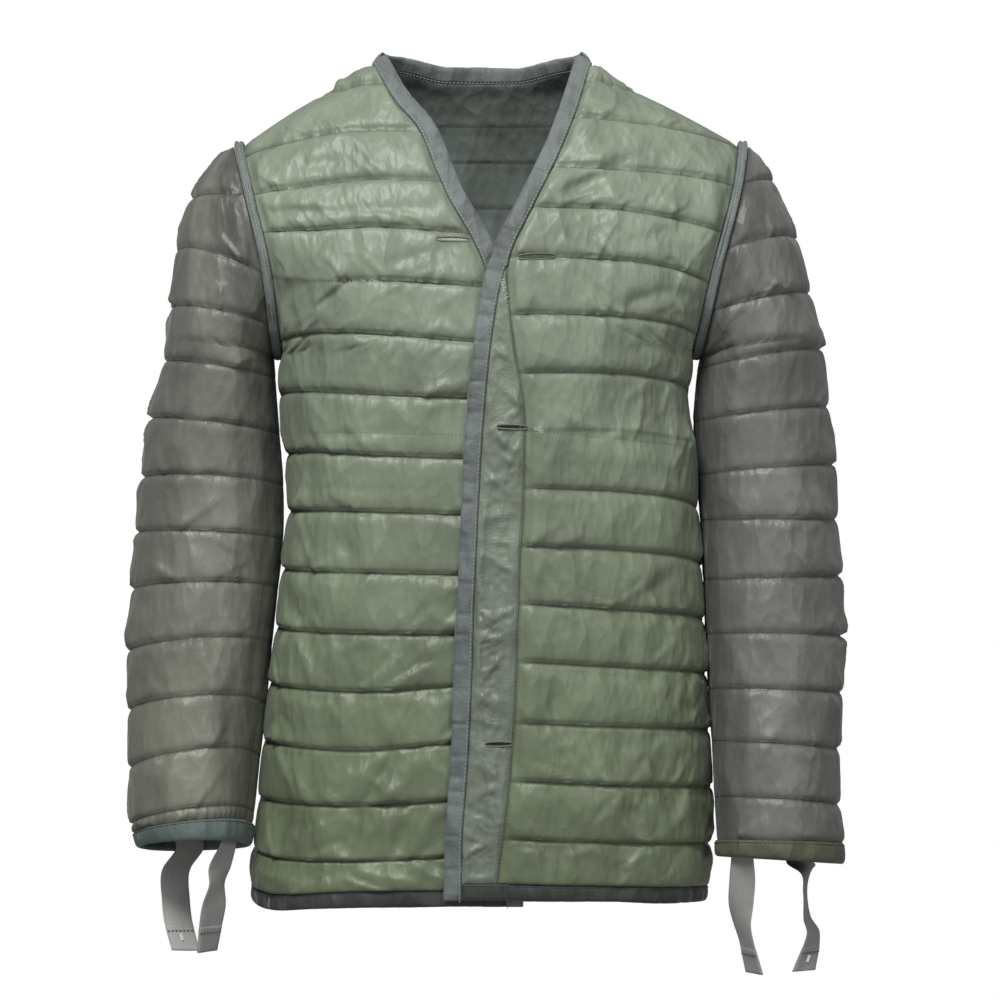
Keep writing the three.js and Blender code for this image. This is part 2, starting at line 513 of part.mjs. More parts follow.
// A sleeve's surface. u runs around it from the front of the armhole or the underarm seam, over the
// outside, to the back. v counts stitching lines down from the shoulder.
function sleevePlacer(sideName, lines, cuff) {
  const side = SIDES[sideName];
  const rows = lines.map((row, i) => ({ ...row, i }));
  const column = Object.fromEntries(['innerZ', 'outerX', 'outerZ', 'lift', 'y', 'halfDepth', 'rear'].map(
    (of) => [of, curve(rows, 'i', of)]));
  const underarm = rowAt(column.innerZ, 0, lines.length - 1, ARMHOLE_BOTTOM);
  const closedRows = [
    { i: underarm, innerX: side.armhole(ARMHOLE_BOTTOM) + ARMHOLE_HALF_SEAM },
    ...rows.filter((row) => row.i > underarm),
  ];
  const closedInnerX = curve(closedRows, 'i', 'innerX');
  const surface = (u, v) => {
    const row = THREE.MathUtils.clamp(v, 0, lines.length - 1);
    const innerZ = column.innerZ(row);
    const inCap = row < underarm;
    const onLoop = Math.acos(THREE.MathUtils.clamp(
      ((ARMHOLE_TOP + ARMHOLE_BOTTOM) / 2 - innerZ) / ((ARMHOLE_TOP - ARMHOLE_BOTTOM) / 2), -1, 1));
    const upper = Math.max(0, onLoop - Math.PI / 2);
    const start = inCap ? onLoop - (1 - CAP_ROUNDNESS) * upper : 0;
    const halfDepth = inCap ? armholeReach(innerZ) / Math.max(Math.sin(start), 1e-6) : column.halfDepth(row);
    const innerX = inCap ? side.armhole(innerZ) + ARMHOLE_HALF_SEAM : closedInnerX(row);
    const angle = mix(start, 2 * Math.PI - start, THREE.MathUtils.clamp(u, 0, 1));
    const outwards = (Math.cos(start) - Math.cos(angle)) / (1 + Math.cos(start));
    const around = (Math.min(angle, 2 * Math.PI - angle) - start) / (Math.PI - start);
    const front = angle < Math.PI ? 1 : -1;
    const behindInside = front < 0 && Math.cos(angle) > 0 ? -Math.sin(2 * angle) : 0;
    return vector(
      side.sign * (mix(innerX, column.outerX(row), outwards) - column.rear(row) * behindInside),
      column.y(row) - halfDepth * Math.sin(angle) - front * SEAM_GAP / 2,
      mix(innerZ, column.outerZ(row), outwards) + front * column.lift(row) * Math.sin(Math.PI * around),
    );
  };
  const place = (u, v) => {
    const at = surface(u, v);
    const inside = vector(side.sign * mix(side.armhole(ARMHOLE_BOTTOM), column.outerX(v), 0.5), column.y(v), at.z);
    const outward = at.clone().sub(inside);
    const out = normalOf(surface, THREE.MathUtils.clamp(u, EDGE_STEP, 1 - EDGE_STEP),
      THREE.MathUtils.clamp(v, EDGE_STEP, lines.length - 1 - EDGE_STEP), outward);
    if ((u === 0 || u === 1) && v < underarm) out.setX(0).normalize();
    if ((u === 0 || u === 1) && v >= underarm) out.setY(0).normalize();
    const fromBody = mix(UNDERARM_PUFF_SHARE, 1, smooth(Math.min(u, 1 - u), 0.08, 0.2));
    const beside = v < underarm ? 1 : fromBody;
    const puff = SLEEVE_PUFF * channelPuff(lines, v) * beside * armholeFade(sideName, at)
      * smooth(cuff.quiltingEnds - v, 0, 0.2);
    return { at, out, puff };
  };
  return { place, underarm, innerZ: column.innerZ };
}

// A folded tape along stations, each with a point on the seam, a direction across and a direction out.
function tape(name, stations, { width, outer, inner }, colour, closed = false) {
  const profile = [
    [0, outer * 0.55], [width * 0.2, outer], [width * 0.82, outer], [width, 0],
    [width * 0.82, -inner], [0, -inner],
  ];
  const points = stations.flatMap(({ at, across, out }) => profile.map(([a, h]) => (
    at.clone().addScaledVector(across, a + SEAM_GAP).addScaledVector(out, h))));
  return loft(name, points, profile.length, stations.length, colour, closed);
}

// Rings of points joined into a solid, with flat ends unless the last ring joins the first.
function loft(name, points, ring, count, colour, closed) {
  const triangles = [];
  for (let i = 0; i < (closed ? count : count - 1); i += 1) {
    for (let j = 0; j < ring; j += 1) {
      const next = ((i + 1) % count) * ring;
      const [a, b] = [i * ring + j, i * ring + ((j + 1) % ring)];
      const [c, d] = [next + ((j + 1) % ring), next + j];
      triangles.push([a, b, c], [a, c, d]);
    }
  }
  for (let j = 1; !closed && j < ring - 1; j += 1) {
    const end = (count - 1) * ring;
    triangles.push([0, j + 1, j], [end, end + j, end + j + 1]);
  }
  return solid(name, points, triangles, colour, 0.7);
}

// Stations along a line of points, with the direction across turned towards a given side.
function stationsOn(line, towards, lean = 0) {
  return line.map(({ at, out }, i) => {
    const before = line[Math.max(i - 1, 0)].at;
    const after = line[Math.min(i + 1, line.length - 1)].at;
    const along = after.clone().sub(before).normalize();
    const across = out.clone().cross(along).normalize();
    if (across.dot(towards(at)) < 0) across.negate();
    const leaning = across.clone().add(vector(0, 0, lean)).normalize();
    leaning.addScaledVector(along, -leaning.dot(along)).normalize();
    const up = leaning.clone().cross(along).normalize();
    if (up.dot(out) < 0) up.negate();
    return { at, across: leaning, out: up };
  });
}

// Ends that meet another piece at a side seam are square to it.
function endsFlat(stations, which) {
  which.forEach((i) => {
    const station = stations.at(i);
    station.across.setY(0).normalize();
    station.out.setY(0).normalize();
  });
  return stations;
}

const GREEN = 0x6f7c5e;
const GREY = 0x6a6b66;
const TAPE_COLOUR = 0x66727a;
const HEM_COLOUR = 0x4c545a;
const STRIP_COLOUR = 0x6d7678;
const RIGHT_CUFF_COLOUR = 0x5a6e6a;
const LEFT_CUFF_COLOUR = 0x565c42;
const WEBBING_COLOUR = 0x7d7a76;

const liner = new THREE.Group();

// Fronts and back
const FRONTS = {
  right: { lines: RIGHT_FRONT_LINES, folds: RIGHT_FOLDS },
  left: { lines: LEFT_FRONT_LINES, folds: LEFT_FOLDS },
};
Object.entries(FRONTS).forEach(([sideName, front]) => {
  front.place = frontPlacer(sideName, front.lines, front.folds);
  const sideHeight = curve(front.lines.map((row, i) => ({ ...row, i })), 'i', 'side');
  const channels = front.lines.length - 1;
  front.edgeHeight = curve(front.lines.map((row, i) => ({ ...row, i })), 'i', 'edge');
  front.stripTop = rowAt(front.edgeHeight, 0, channels, STRIP_TOP);
  const extra = ARMHOLE_LEVELS.map((z) => rowAt(sideHeight, 0, channels, z));
  front.rows = rowsOf(channels, sideName === 'left' ? [...extra, front.stripTop] : extra);
  const inNeckline = (v) => front.edgeHeight(v) > STRIP_TOP - 30 || front.rows.innerRows.includes(v);
  front.rows.innerRows = front.rows.outerRows.filter(inNeckline);
  liner.add(quiltedCloth({
    name: `front_${sideName}`,
    columns: FRONT_COLUMNS,
    ...front.rows,
    place: front.place,
    wall: WALL,
    colour: GREEN,
  }));
});
const placeBack = backPlacer();
{
  const height = curve(BACK_LINES.map((row, i) => ({ ...row, i })), 'i', 'side');
  const channels = BACK_LINES.length - 1;
  liner.add(quiltedCloth({
    name: 'back',
    columns: BACK_COLUMNS,
    ...rowsOf(channels, ARMHOLE_LEVELS.map((z) => rowAt(height, 0, channels, z))),
    place: placeBack,
    wall: WALL,
    colour: GREEN,
  }));
}

// Sleeves
const SLEEVES = {
  right: { lines: RIGHT_SLEEVE_LINES, cuff: RIGHT_CUFF, colour: RIGHT_CUFF_COLOUR },
  left: { lines: LEFT_SLEEVE_LINES, cuff: LEFT_CUFF, colour: LEFT_CUFF_COLOUR },
};
Object.entries(SLEEVES).forEach(([sideName, sleeve]) => {
  Object.assign(sleeve, sleevePlacer(sideName, sleeve.lines, sleeve.cuff));
  const extra = ARMHOLE_LEVELS.slice(1).map((z) => rowAt(sleeve.innerZ, 0, sleeve.lines.length - 1, z));
  liner.add(quiltedCloth({
    name: `sleeve_${sideName}`,
    columns: SLEEVE_COLUMNS,
    ...rowsOf(sleeve.lines.length - 1, extra, sleeve.cuff.quiltingEnds),
    place: sleeve.place,
    wall: WALL,
    colour: GREY,
  }));
});

// The plain strip on the left front, between the edge tape and the quilting. Its rows are the quilting's.
function placeStrip(u, v) {
  const z = FRONTS.left.edgeHeight(v);
  const side = SIDES.left;
  const x = mix(side.tapeX(z), side.quiltingX(z) - STRIP_GAP, u);
  const surface = (across, height) => bodyPoint(side, 'front', angleAt(side, 'front', across, height), height);
  const at = surface(x, z);
  const out = normalOf(surface, x, z, vector(0, -1, 0));
  at.addScaledVector(out, overlapShift(side, at));
  return { at, out, puff: 0.6 * Math.sin(Math.PI * u) };
}
const inStrip = (rows) => rows.filter((v) => v <= FRONTS.left.stripTop);
liner.add(quiltedCloth({
  name: 'facing_strip',
  columns: 4,
  outerRows: inStrip(FRONTS.left.rows.outerRows),
  innerRows: inStrip(FRONTS.left.rows.innerRows),
  place: placeStrip,
  wall: STRIP_WALL,
  colour: STRIP_COLOUR,
}));

// Edge tapes: up each front edge to the neck point, and around the back of the neck
Object.entries(FRONTS).forEach(([sideName, front]) => {
  const towards = () => vector(-SIDES[sideName].sign, 0, 0.2);
  const line = front.rows.outerRows.map((v) => (
    sideName === 'left' && v <= front.stripTop ? placeStrip(0, v) : front.place(0, v)));
  const below = { at: line[0].at.clone().add(vector(0, 0, -HEM_TAPE.width)), out: line[0].out.clone() };
  const neck = placeBack(sideName === 'right' ? 0 : 1, BACK_LINES.length - 1);
  neck.at.y = centreY(NECK) - SEAM_GAP / 2;
  const beyond = { at: neck.at.clone().add(vector(0, 12, 1)), out: neck.out };
  const stations = stationsOn([below, ...line, neck, beyond], towards, 0).slice(0, -1);
  liner.add(tape(`edge_binding_${sideName}`, endsFlat(stations, [-1]), EDGE_TAPE, TAPE_COLOUR));
});
{
  const line = Array.from({ length: BACK_COLUMNS + 1 }, (_, j) => placeBack(j / BACK_COLUMNS, BACK_LINES.length - 1));
  const stations = stationsOn(line, () => vector(0, 0, 1), NECK_TAPE_LEAN);
  [0, stations.length - 1].forEach((i) => {
    stations[i].across.setY(0).normalize();
    stations[i].out.setY(0).normalize();
  });
  liner.add(tape('edge_binding_neck', stations, EDGE_TAPE, TAPE_COLOUR));
}

// Hem tapes
const down = () => vector(0, 0, -1);
const hemLine = (place, columns) => Array.from({ length: columns + 1 }, (_, j) => place(j / columns, 0));
const besideEdge = ({ at, out }) => ({ at: at.clone().add(vector(SEAM_GAP, 0, 0)), out });
Object.entries(FRONTS).forEach(([sideName, front]) => {
  const quilted = hemLine(front.place, FRONT_COLUMNS);
  const line = sideName === 'left' ? [besideEdge(placeStrip(0, 0)), placeStrip(0.5, 0), ...quilted] : quilted;
  if (sideName === 'right') line[0].at.x -= SEAM_GAP;
  const stations = endsFlat(stationsOn(line, down), [-1]);
  stations[0].across.set(0, stations[0].across.y, stations[0].across.z).normalize();
  liner.add(tape(`hem_binding_${sideName}`, stations, HEM_TAPE, HEM_COLOUR));
});
liner.add(tape('hem_binding_back', endsFlat(stationsOn(hemLine(placeBack, BACK_COLUMNS), down), [0, -1]),
  HEM_TAPE, HEM_COLOUR));

// Armhole tapes: the bound seam allowance stands out around the armhole
Object.entries(SIDES).forEach(([sideName, side]) => {
  const count = 32;
  const half = ARMHOLE_TAPE_HALF;
  const points = Array.from({ length: count }, (_, i) => {
    const angle = (i / count) * 2 * Math.PI;
    const at = armholePoint(side, angle);
    const height = (ARMHOLE_TOP - ARMHOLE_BOTTOM) / 2;
    const out = vector(0, -Math.sin(angle) * height, Math.cos(angle) * ARMHOLE_HALF_DEPTH).normalize();
    const stands = mix(ARMHOLE_STANDS_BELOW, ARMHOLE_STANDS, (1 + Math.cos(angle)) / 2);
    const profile = [
      [-half, stands * 0.5], [-half * 0.5, stands], [0, stands * 0.7], [half * 0.5, stands],
      [half, stands * 0.5], [half, -WALL], [-half, -WALL],
    ];
    return profile.map(([a, h]) => at.clone().add(vector(a * side.sign, 0, 0)).addScaledVector(out, h));
  }).flat();
  liner.add(loft(`armhole_binding_${sideName}`, points, 7, count, TAPE_COLOUR, true));
});

// Cuff tapes
Object.entries(SLEEVES).forEach(([sideName, { place, cuff, colour }]) => {
  const share = (s) => mix(cuff.quiltingEnds, cuff.tapeEnds, s);
  const points = Array.from({ length: SLEEVE_COLUMNS }, (_, j) => {
    const u = (j + 0.5) / SLEEVE_COLUMNS;
    const [top, bottom] = [place(u, cuff.quiltingEnds), place(u, cuff.tapeEnds)];
    const along = bottom.at.clone().sub(top.at).normalize();
    const ring = [[0, 1.4], [0.2, 2.6], [0.85, 2.6], [1, 0.4], [0.9, -2], [0, -2]];
    return ring.map(([s, h]) => {
      const { at, out } = place(u, share(s));
      return at.addScaledVector(out, h).addScaledVector(along, CUFF_GAP);
    });
  }).flat();
  liner.add(loft(`cuff_binding_${sideName}`, points, 6, SLEEVE_COLUMNS, colour, true));
});

// Webbing tabs, sewn inside the cuffs
TABS.forEach(({ name, sleeve, angle, clear, hang }) => {
  const { place, cuff } = SLEEVES[sleeve];
  const inside = [0.35, 1].map((share) => {
    const { at, out } = place(angle / 360, mix(cuff.quiltingEnds, cuff.tapeEnds, share));
    const beside = place(angle / 360 + 0.01, mix(cuff.quiltingEnds, cuff.tapeEnds, share)).at;
    const across = beside.sub(at).setZ(0).normalize();
    if (across.x < 0) across.negate();
    return { at: at.addScaledVector(out, -clear), across };
  });
  const hanging = hang.map(({ x, y, z, turn }) => {
    const radians = THREE.MathUtils.degToRad(turn);
    return { at: vector(x, y, z), across: vector(Math.cos(radians), Math.sin(radians), 0) };
  });
  const stations = [...inside, ...hanging];
  const last = stations.at(-1);
  const before = stations.at(-2);
  const length = last.at.distanceTo(before.at);
  const foldStarts = before.at.clone().lerp(last.at, 1 - WEBBING.foldedEnd / length);
  const atFold = { at: foldStarts, across: before.across.clone().lerp(last.across, 0.4).normalize() };
  const ordered = [...stations.slice(0, -1), atFold, { ...atFold, thick: WEBBING.foldedThick, down: 1.2 },
    { ...last, thick: WEBBING.foldedThick }];
  const points = ordered.flatMap(({ at, across, thick = WEBBING.thick, down: lower = 0 }, i) => {
    const next = ordered[Math.min(i + 1, ordered.length - 1)].at;
    const previous = ordered[Math.max(i - 1, 0)].at;
    const along = next.clone().sub(previous).normalize();
    const out = across.clone().cross(along).normalize();
    return [[-1, -1], [1, -1], [1, 1], [-1, 1]].map(([a, h]) => at.clone()
      .addScaledVector(across, (a * WEBBING.width) / 2)
      .addScaledVector(out, (h * thick) / 2)
      .add(vector(0, 0, -lower)));
  });
  liner.add(loft(name, points, 4, ordered.length, WEBBING_COLOUR, false));
});

export default liner;
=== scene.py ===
import bpy
import numpy as np
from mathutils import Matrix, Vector


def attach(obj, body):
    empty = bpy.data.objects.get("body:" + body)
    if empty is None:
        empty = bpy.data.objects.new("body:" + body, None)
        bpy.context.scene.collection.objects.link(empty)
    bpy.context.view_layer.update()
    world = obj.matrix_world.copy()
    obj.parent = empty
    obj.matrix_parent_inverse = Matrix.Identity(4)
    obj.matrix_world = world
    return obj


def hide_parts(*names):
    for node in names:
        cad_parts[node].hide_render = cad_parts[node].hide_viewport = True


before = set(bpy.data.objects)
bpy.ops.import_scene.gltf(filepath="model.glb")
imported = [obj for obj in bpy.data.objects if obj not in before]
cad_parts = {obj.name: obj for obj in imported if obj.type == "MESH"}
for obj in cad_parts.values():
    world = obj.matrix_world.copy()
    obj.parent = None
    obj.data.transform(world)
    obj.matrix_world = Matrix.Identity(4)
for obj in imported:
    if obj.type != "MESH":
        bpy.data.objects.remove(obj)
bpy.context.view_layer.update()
scene = bpy.context.scene

# The camera stands level in front of the liner, a little to the left of its middle and at the height of the
# waist, and sees a square 0.9 m wide at the middle of the body.
CAMERA_PLACE = (0.0117, -3.2, -0.3906)
VIEW_WIDTH = 0.9
SENSOR_WIDTH = 36

camera_data = bpy.data.cameras.new("camera")
camera_data.sensor_width = SENSOR_WIDTH
camera_data.lens = SENSOR_WIDTH * -CAMERA_PLACE[1] / VIEW_WIDTH
camera = bpy.data.objects.new("camera", camera_data)
scene.collection.objects.link(camera)
camera.location = CAMERA_PLACE
camera.rotation_euler = (np.pi / 2, 0, 0)
scene.camera = camera

# The studio: a white backdrop that lights the cloth only a little, a large soft lamp high in front and to
# the left, a weaker one to the right, and a grey floor well below the liner, which hangs as if worn.
FLOOR_HEIGHT = -1.25
FLOOR_RADIUS = 2.4
BACKDROP_LIGHT = 1.0
ROOM_LIGHT = 0.3
WHITE = (1, 1, 1, 1)
FLOOR_GREY = (0.4, 0.4, 0.4, 1)
SOFT_LAMPS = [
    {"name": "main lamp", "place": (-0.7, -2.1, 2.0), "aims_at": (0, 0, -0.35), "size": 1.3, "watts": 105},
    {"name": "side lamp", "place": (1.5, -2.4, 0.6), "aims_at": (0, 0, -0.4), "size": 1.2, "watts": 16},
]


def feed(tree, fed, inputs):
    """Sets a node's inputs, each to a plain value or to another node's output."""
    for socket, value in inputs.items():
        if isinstance(value, bpy.types.NodeSocket):
            tree.links.new(value, fed.inputs[socket])
        else:
            fed.inputs[socket].default_value = value


def node(tree, kind, inputs, **settings):
    made = tree.nodes.new(kind)
    for name, value in settings.items():
        setattr(made, name, value)
    feed(tree, made, inputs)
    return made


def new_material(name, inputs):
    """A material whose shader has these inputs, and its node tree."""
    material = bpy.data.materials.new(name)
    material.use_nodes = True
    feed(material.node_tree, material.node_tree.nodes["Principled BSDF"], inputs)
    return material, material.node_tree


world = bpy.data.worlds.new("white room")
scene.world = world
world.use_nodes = True
rays = node(world.node_tree, "ShaderNodeLightPath", {})
strength = node(world.node_tree, "ShaderNodeMapRange", {
    "To Min": ROOM_LIGHT, "To Max": BACKDROP_LIGHT, "Value": rays.outputs["Is Camera Ray"]})
feed(world.node_tree, world.node_tree.nodes["Background"], {
    "Color": WHITE, "Strength": strength.outputs["Result"]})
scene.view_settings.view_transform = "Standard"

for lamp in SOFT_LAMPS:
    lamp_data = bpy.data.lights.new(lamp["name"], "AREA")
    lamp_data.shape = "DISK"
    lamp_data.size = lamp["size"]
    lamp_data.energy = lamp["watts"]
    lamp_object = bpy.data.objects.new(lamp["name"], lamp_data)
    scene.collection.objects.link(lamp_object)
    lamp_object.location = lamp["place"]
    aim = Vector(lamp["aims_at"]) - Vector(lamp["place"])
    lamp_object.rotation_euler = aim.to_track_quat("-Z", "Y").to_euler()

bpy.ops.mesh.primitive_circle_add(vertices=96, radius=FLOOR_RADIUS, fill_type="NGON",
                                  location=(0, 0, FLOOR_HEIGHT))
floor = bpy.context.object
floor.name = "floor"
floor.data.materials.append(new_material("floor paint", {"Base Color": FLOOR_GREY, "Roughness": 0.9})[0])

# The fronts: woven nylon over thin wadding, stitched through in level channels about 50 mm apart.
# Their form is the body's level sections, cut off at the V neck, the armholes and the side seams, and the
# cloth between the stitching lines is settled by a small cloth simulation of its own.
WALL = 0.002
SEAM_GAP = 0.0003
SECTION_POWER = 2.3
BODY_PUFF = 0.0046
SIDE_PUFF_SHARE = 0.5
PINCHED = 0.016
OVERLAP_OUT = 0.005
OVERLAP_IN = 0.0045
ARMHOLE_TOP = -0.073
ARMHOLE_BOTTOM = -0.262
ARMHOLE_MIDDLE = (ARMHOLE_TOP + ARMHOLE_BOTTOM) / 2
ARMHOLE_HALF_HEIGHT = (ARMHOLE_TOP - ARMHOLE_BOTTOM) / 2
ARMHOLE_HALF_DEPTH = 0.078
ARMHOLE_HALF_SEAM = 0.0045
NECK = -0.006
NECK_RISE = 0.008
NECK_MIDDLE = 0.005
STRIP_TOP = -0.189
FRONT_COLUMNS = 108
ROWS_PER_CHANNEL = 18
SHOULDER_PUFF_SHARE = 0.12
# Where the right front's stitches have come out: the stitching line, and from how far to the wearer's right.
LOOSE_LINE = 11
LOOSE_FROM = 0.122
LOOSE_FULLNESS = 0.93
UNSEWN_LINE = 8
# How a channel fills out: below 1, the first makes it fullest low down and the second makes it boxier.
CHANNEL_SAG = 0.62
CHANNEL_ROUNDNESS = 0.34
SCALLOP = 0.05
LINING_PUFF = 0.0012
# The cloth that settles: how much too long it is, and how much of its shift along and out is kept.
CLOTH_SLACK = 0.026
SETTLING_NOISE = 0.00035
SETTLING_ROUNDS = 80
SETTLING_PUSH = 0.00002
DIAGONAL_STIFFNESS = 0.35
BENDING_STIFFNESS = 0.1
SHIFT_KEPT = 0.3
RISE_KEPT = 0.35
# Creases from the stitching: how far apart they start, how high they are, and how wide on their two sides.
CREASE_SPACING = 0.026
CREASE_HEIGHT = 0.0042
CREASE_STEEP = 0.0022
CREASE_GENTLE = 0.008
# In the cloth's surface: three sets of facets, each with a turn, fineness and rise, and a painted shade at
# seams, a factor that darkens the colour there, with its half width as a part of a channel.
CREASE_FACETS = ((0.75, 27, 4.5), (-0.6, 45, 2.6), (0.3, 100, 1.0))
PAINTED_SEAM_SHADE = 0.68
PAINTED_SEAM_SHADE_HALF = 0.07


def table(columns, rows):
    """Rows of numbers as a list in which each row's numbers have names."""
    return [dict(zip(columns.split(), row)) for row in rows]


SHOULDERS = table("z right left front back", [
    (0.014, 0.091, 0.081, 0.05, 0.072),
    (-0.006, 0.102, 0.093, 0.052, 0.078),
    (-0.02, 0.132, 0.122, 0.058, 0.088),
    (-0.04, 0.17, 0.166, 0.072, 0.099),
    (-0.073, 0.2187, 0.2257, 0.09, 0.112),
])
CHEST = table("z front back", [
    (-0.12, 0.106, 0.121),
    (-0.167, 0.115, 0.125),
    (-0.215, 0.12, 0.124),
])
TRUNK = table("z right left front back", [
    (-0.262, 0.1827, 0.1827, 0.122, 0.12),
    (-0.3, 0.184, 0.178, 0.121, 0.116),
    (-0.35, 0.178, 0.183, 0.12, 0.112),
    (-0.4, 0.176, 0.187, 0.12, 0.111),
    (-0.45, 0.181, 0.19, 0.12, 0.113),
    (-0.505, 0.187, 0.192, 0.121, 0.116),
    (-0.555, 0.193, 0.194, 0.122, 0.119),
    (-0.605, 0.198, 0.197, 0.123, 0.121),
    (-0.655, 0.202, 0.199, 0.124, 0.123),
    (-0.7, 0.206, 0.198, 0.125, 0.125),
    (-0.755, 0.21, 0.195, 0.126, 0.127),
])
SHOULDER_SET_BACK = table("z y", [(0.014, 0.008), (-0.073, 0.004), (-0.262, 0)])
ARMHOLE = table("z right left", [
    (-0.073, 0.223, 0.23),
    (-0.12, 0.21, 0.2205),
    (-0.19, 0.1935, 0.202),
    (-0.262, 0.187, 0.187),
])
RIGHT_EDGE = table("z tape quilting", [
    (-0.006, -0.103, -0.103),
    (-0.032, -0.086, -0.086),
    (-0.064, -0.06, -0.06),
    (-0.098, -0.045, -0.045),
    (-0.129, -0.031, -0.031),
    (-0.158, -0.014, -0.014),
    (-0.184, -0.002, -0.002),
    (-0.21, 0.006, 0.006),
    (-0.26, 0.011, 0.011),
    (-0.4, 0.015, 0.015),
    (-0.755, 0.018, 0.018),
])
LEFT_EDGE = table("z tape quilting", [
    (-0.006, 0.093, 0.093),
    (-0.037, 0.082, 0.082),
    (-0.084, 0.064, 0.064),
    (-0.134, 0.0405, 0.0405),
    (-0.182, 0.0185, 0.0185),
    (-0.215, 0.009, 0.019),
    (-0.26, 0.0025, 0.024),
    (-0.313, -0.003, 0.033),
    (-0.36, -0.006, 0.033),
    (-0.475, -0.0115, 0.028),
    (-0.56, -0.0142, 0.0253),
    (-0.62, -0.0172, 0.0217),
    (-0.66, -0.0203, 0.0175),
    (-0.7, -0.0223, 0.0125),
    (-0.735, -0.022, 0.008),
])
# Stitching lines from the hem up: heights at the front edge, at a third, at two thirds and at the side.
# One line of the left front has come undone.
RIGHT_FRONT_LINES = table("edge inner outer side", [
    (-0.729, -0.731, -0.738, -0.735),
    (-0.697, -0.704, -0.706, -0.7),
    (-0.648, -0.656, -0.657, -0.656),
    (-0.597, -0.608, -0.607, -0.604),
    (-0.549, -0.557, -0.556, -0.554),
    (-0.507, -0.507, -0.506, -0.504),
    (-0.456, -0.454, -0.453, -0.452),
    (-0.404, -0.401, -0.4, -0.401),
    (-0.355, -0.352, -0.348, -0.35),
    (-0.303, -0.299, -0.295, -0.297),
    (-0.255, -0.247, -0.244, -0.249),
    (-0.205, -0.2, -0.199, -0.194),
    (-0.158, -0.153, -0.155, -0.155),
    (-0.112, -0.111, -0.117, -0.121),
    (-0.067, -0.067, -0.075, -0.085),
    (-0.027, -0.027, -0.029, -0.031),
    (-0.009, -0.009, -0.009, -0.009),
])
LEFT_FRONT_LINES = table("edge inner outer side", [
    (-0.723, -0.727, -0.732, -0.737),
    (-0.683, -0.689, -0.693, -0.698),
    (-0.633, -0.639, -0.643, -0.647),
    (-0.583, -0.588, -0.592, -0.597),
    (-0.53, -0.536, -0.541, -0.547),
    (-0.48, -0.486, -0.491, -0.499),
    (-0.43, -0.434, -0.44, -0.449),
    (-0.38, -0.383, -0.389, -0.4),
    (-0.33, -0.33, -0.337, -0.346),
    (-0.28, -0.28, -0.285, -0.293),
    (-0.23, -0.23, -0.235, -0.244),
    (-0.18, -0.181, -0.187, -0.199),
    (-0.137, -0.137, -0.145, -0.155),
    (-0.1, -0.102, -0.106, -0.113),
    (-0.054, -0.059, -0.066, -0.077),
    (-0.025, -0.026, -0.028, -0.031),
    (-0.009, -0.009, -0.009, -0.009),
])
LEFT_FRONT_LINES[UNSEWN_LINE]["sewn"] = False
# The folds that show: from one point to another as seen from the front, how high, and how wide each way.
RIGHT_FOLDS = table("x1 z1 x2 z2 rise half", [
    (-0.2, -0.128, -0.06, -0.15, 0.003, 0.008),
    (-0.195, -0.142, -0.05, -0.138, -0.003, 0.005),
    (-0.06, -0.6, -0.105, -0.69, 0.004, 0.011),
    (-0.078, -0.6, -0.122, -0.69, -0.003, 0.008),
    (-0.04, -0.64, -0.07, -0.7, 0.004, 0.009),
    (-0.055, -0.65, -0.09, -0.712, -0.003, 0.007),
    (-0.13, -0.70, -0.06, -0.722, 0.003, 0.007),
    (-0.205, -0.712, -0.165, -0.722, 0.004, 0.012),
    (-0.15, -0.335, -0.06, -0.33, -0.0015, 0.004),
    (-0.17, -0.38, -0.05, -0.383, -0.001, 0.003),
    (-0.1, -0.19, -0.03, -0.17, -0.002, 0.006),
    (-0.17, -0.1, -0.12, -0.095, -0.002, 0.006),
    (-0.17, -0.47, -0.16, -0.5, -0.003, 0.008),
    (-0.18, -0.56, -0.165, -0.6, -0.0025, 0.008),
    (-0.13, -0.42, -0.11, -0.45, -0.002, 0.008),
])
LEFT_FOLDS = table("x1 z1 x2 z2 rise half", [
    (0.05, -0.126, 0.13, -0.08, 0.004, 0.009),
    (0.06, -0.133, 0.135, -0.09, -0.004, 0.006),
    (0.06, -0.33, 0.15, -0.342, -0.0016, 0.005),
    (0.08, -0.35, 0.17, -0.36, 0.002, 0.008),
    (0.09, -0.61, 0.13, -0.69, 0.003, 0.01),
    (0.06, -0.55, 0.065, -0.61, -0.0025, 0.006),
    (0.15, -0.6, 0.16, -0.66, -0.0025, 0.007),
    (0.12, -0.17, 0.17, -0.15, -0.002, 0.007),
    (0.1, -0.23, 0.16, -0.21, -0.002, 0.007),
    (0.13, -0.48, 0.16, -0.45, -0.0025, 0.007),
    (0.06, -0.64, 0.08, -0.7, -0.0025, 0.007),
    (0.17, -0.4, 0.185, -0.46, -0.0025, 0.008),
])


def curve(rows, by, of):
    """A smooth curve through one column of a table, read by another column."""
    rows = sorted(rows, key=lambda row: row[by])
    at = np.array([row[by] for row in rows], float)
    value = np.array([row[of] for row in rows], float)
    before = np.maximum(np.arange(len(at)) - 1, 0)
    after = np.minimum(np.arange(len(at)) + 1, len(at) - 1)
    slope = (value[after] - value[before]) / (at[after] - at[before])

    def on_curve(place):
        place = np.clip(np.asarray(place, float), at[0], at[-1])
        i = np.clip(np.searchsorted(at, place) - 1, 0, len(at) - 2)
        span = at[i + 1] - at[i]
        t = (place - at[i]) / span
        return (value[i] * (2 * t**3 - 3 * t**2 + 1) + slope[i] * span * (t**3 - 2 * t**2 + t)
                + value[i + 1] * (3 * t**2 - 2 * t**3) + slope[i + 1] * span * (t**3 - t**2))
    return on_curve


def smooth(at, low, high):
    share = np.clip((at - low) / (high - low), 0, 1)
    return share * share * (3 - 2 * share)


def mix(a, b, share):
    return a + (b - a) * share


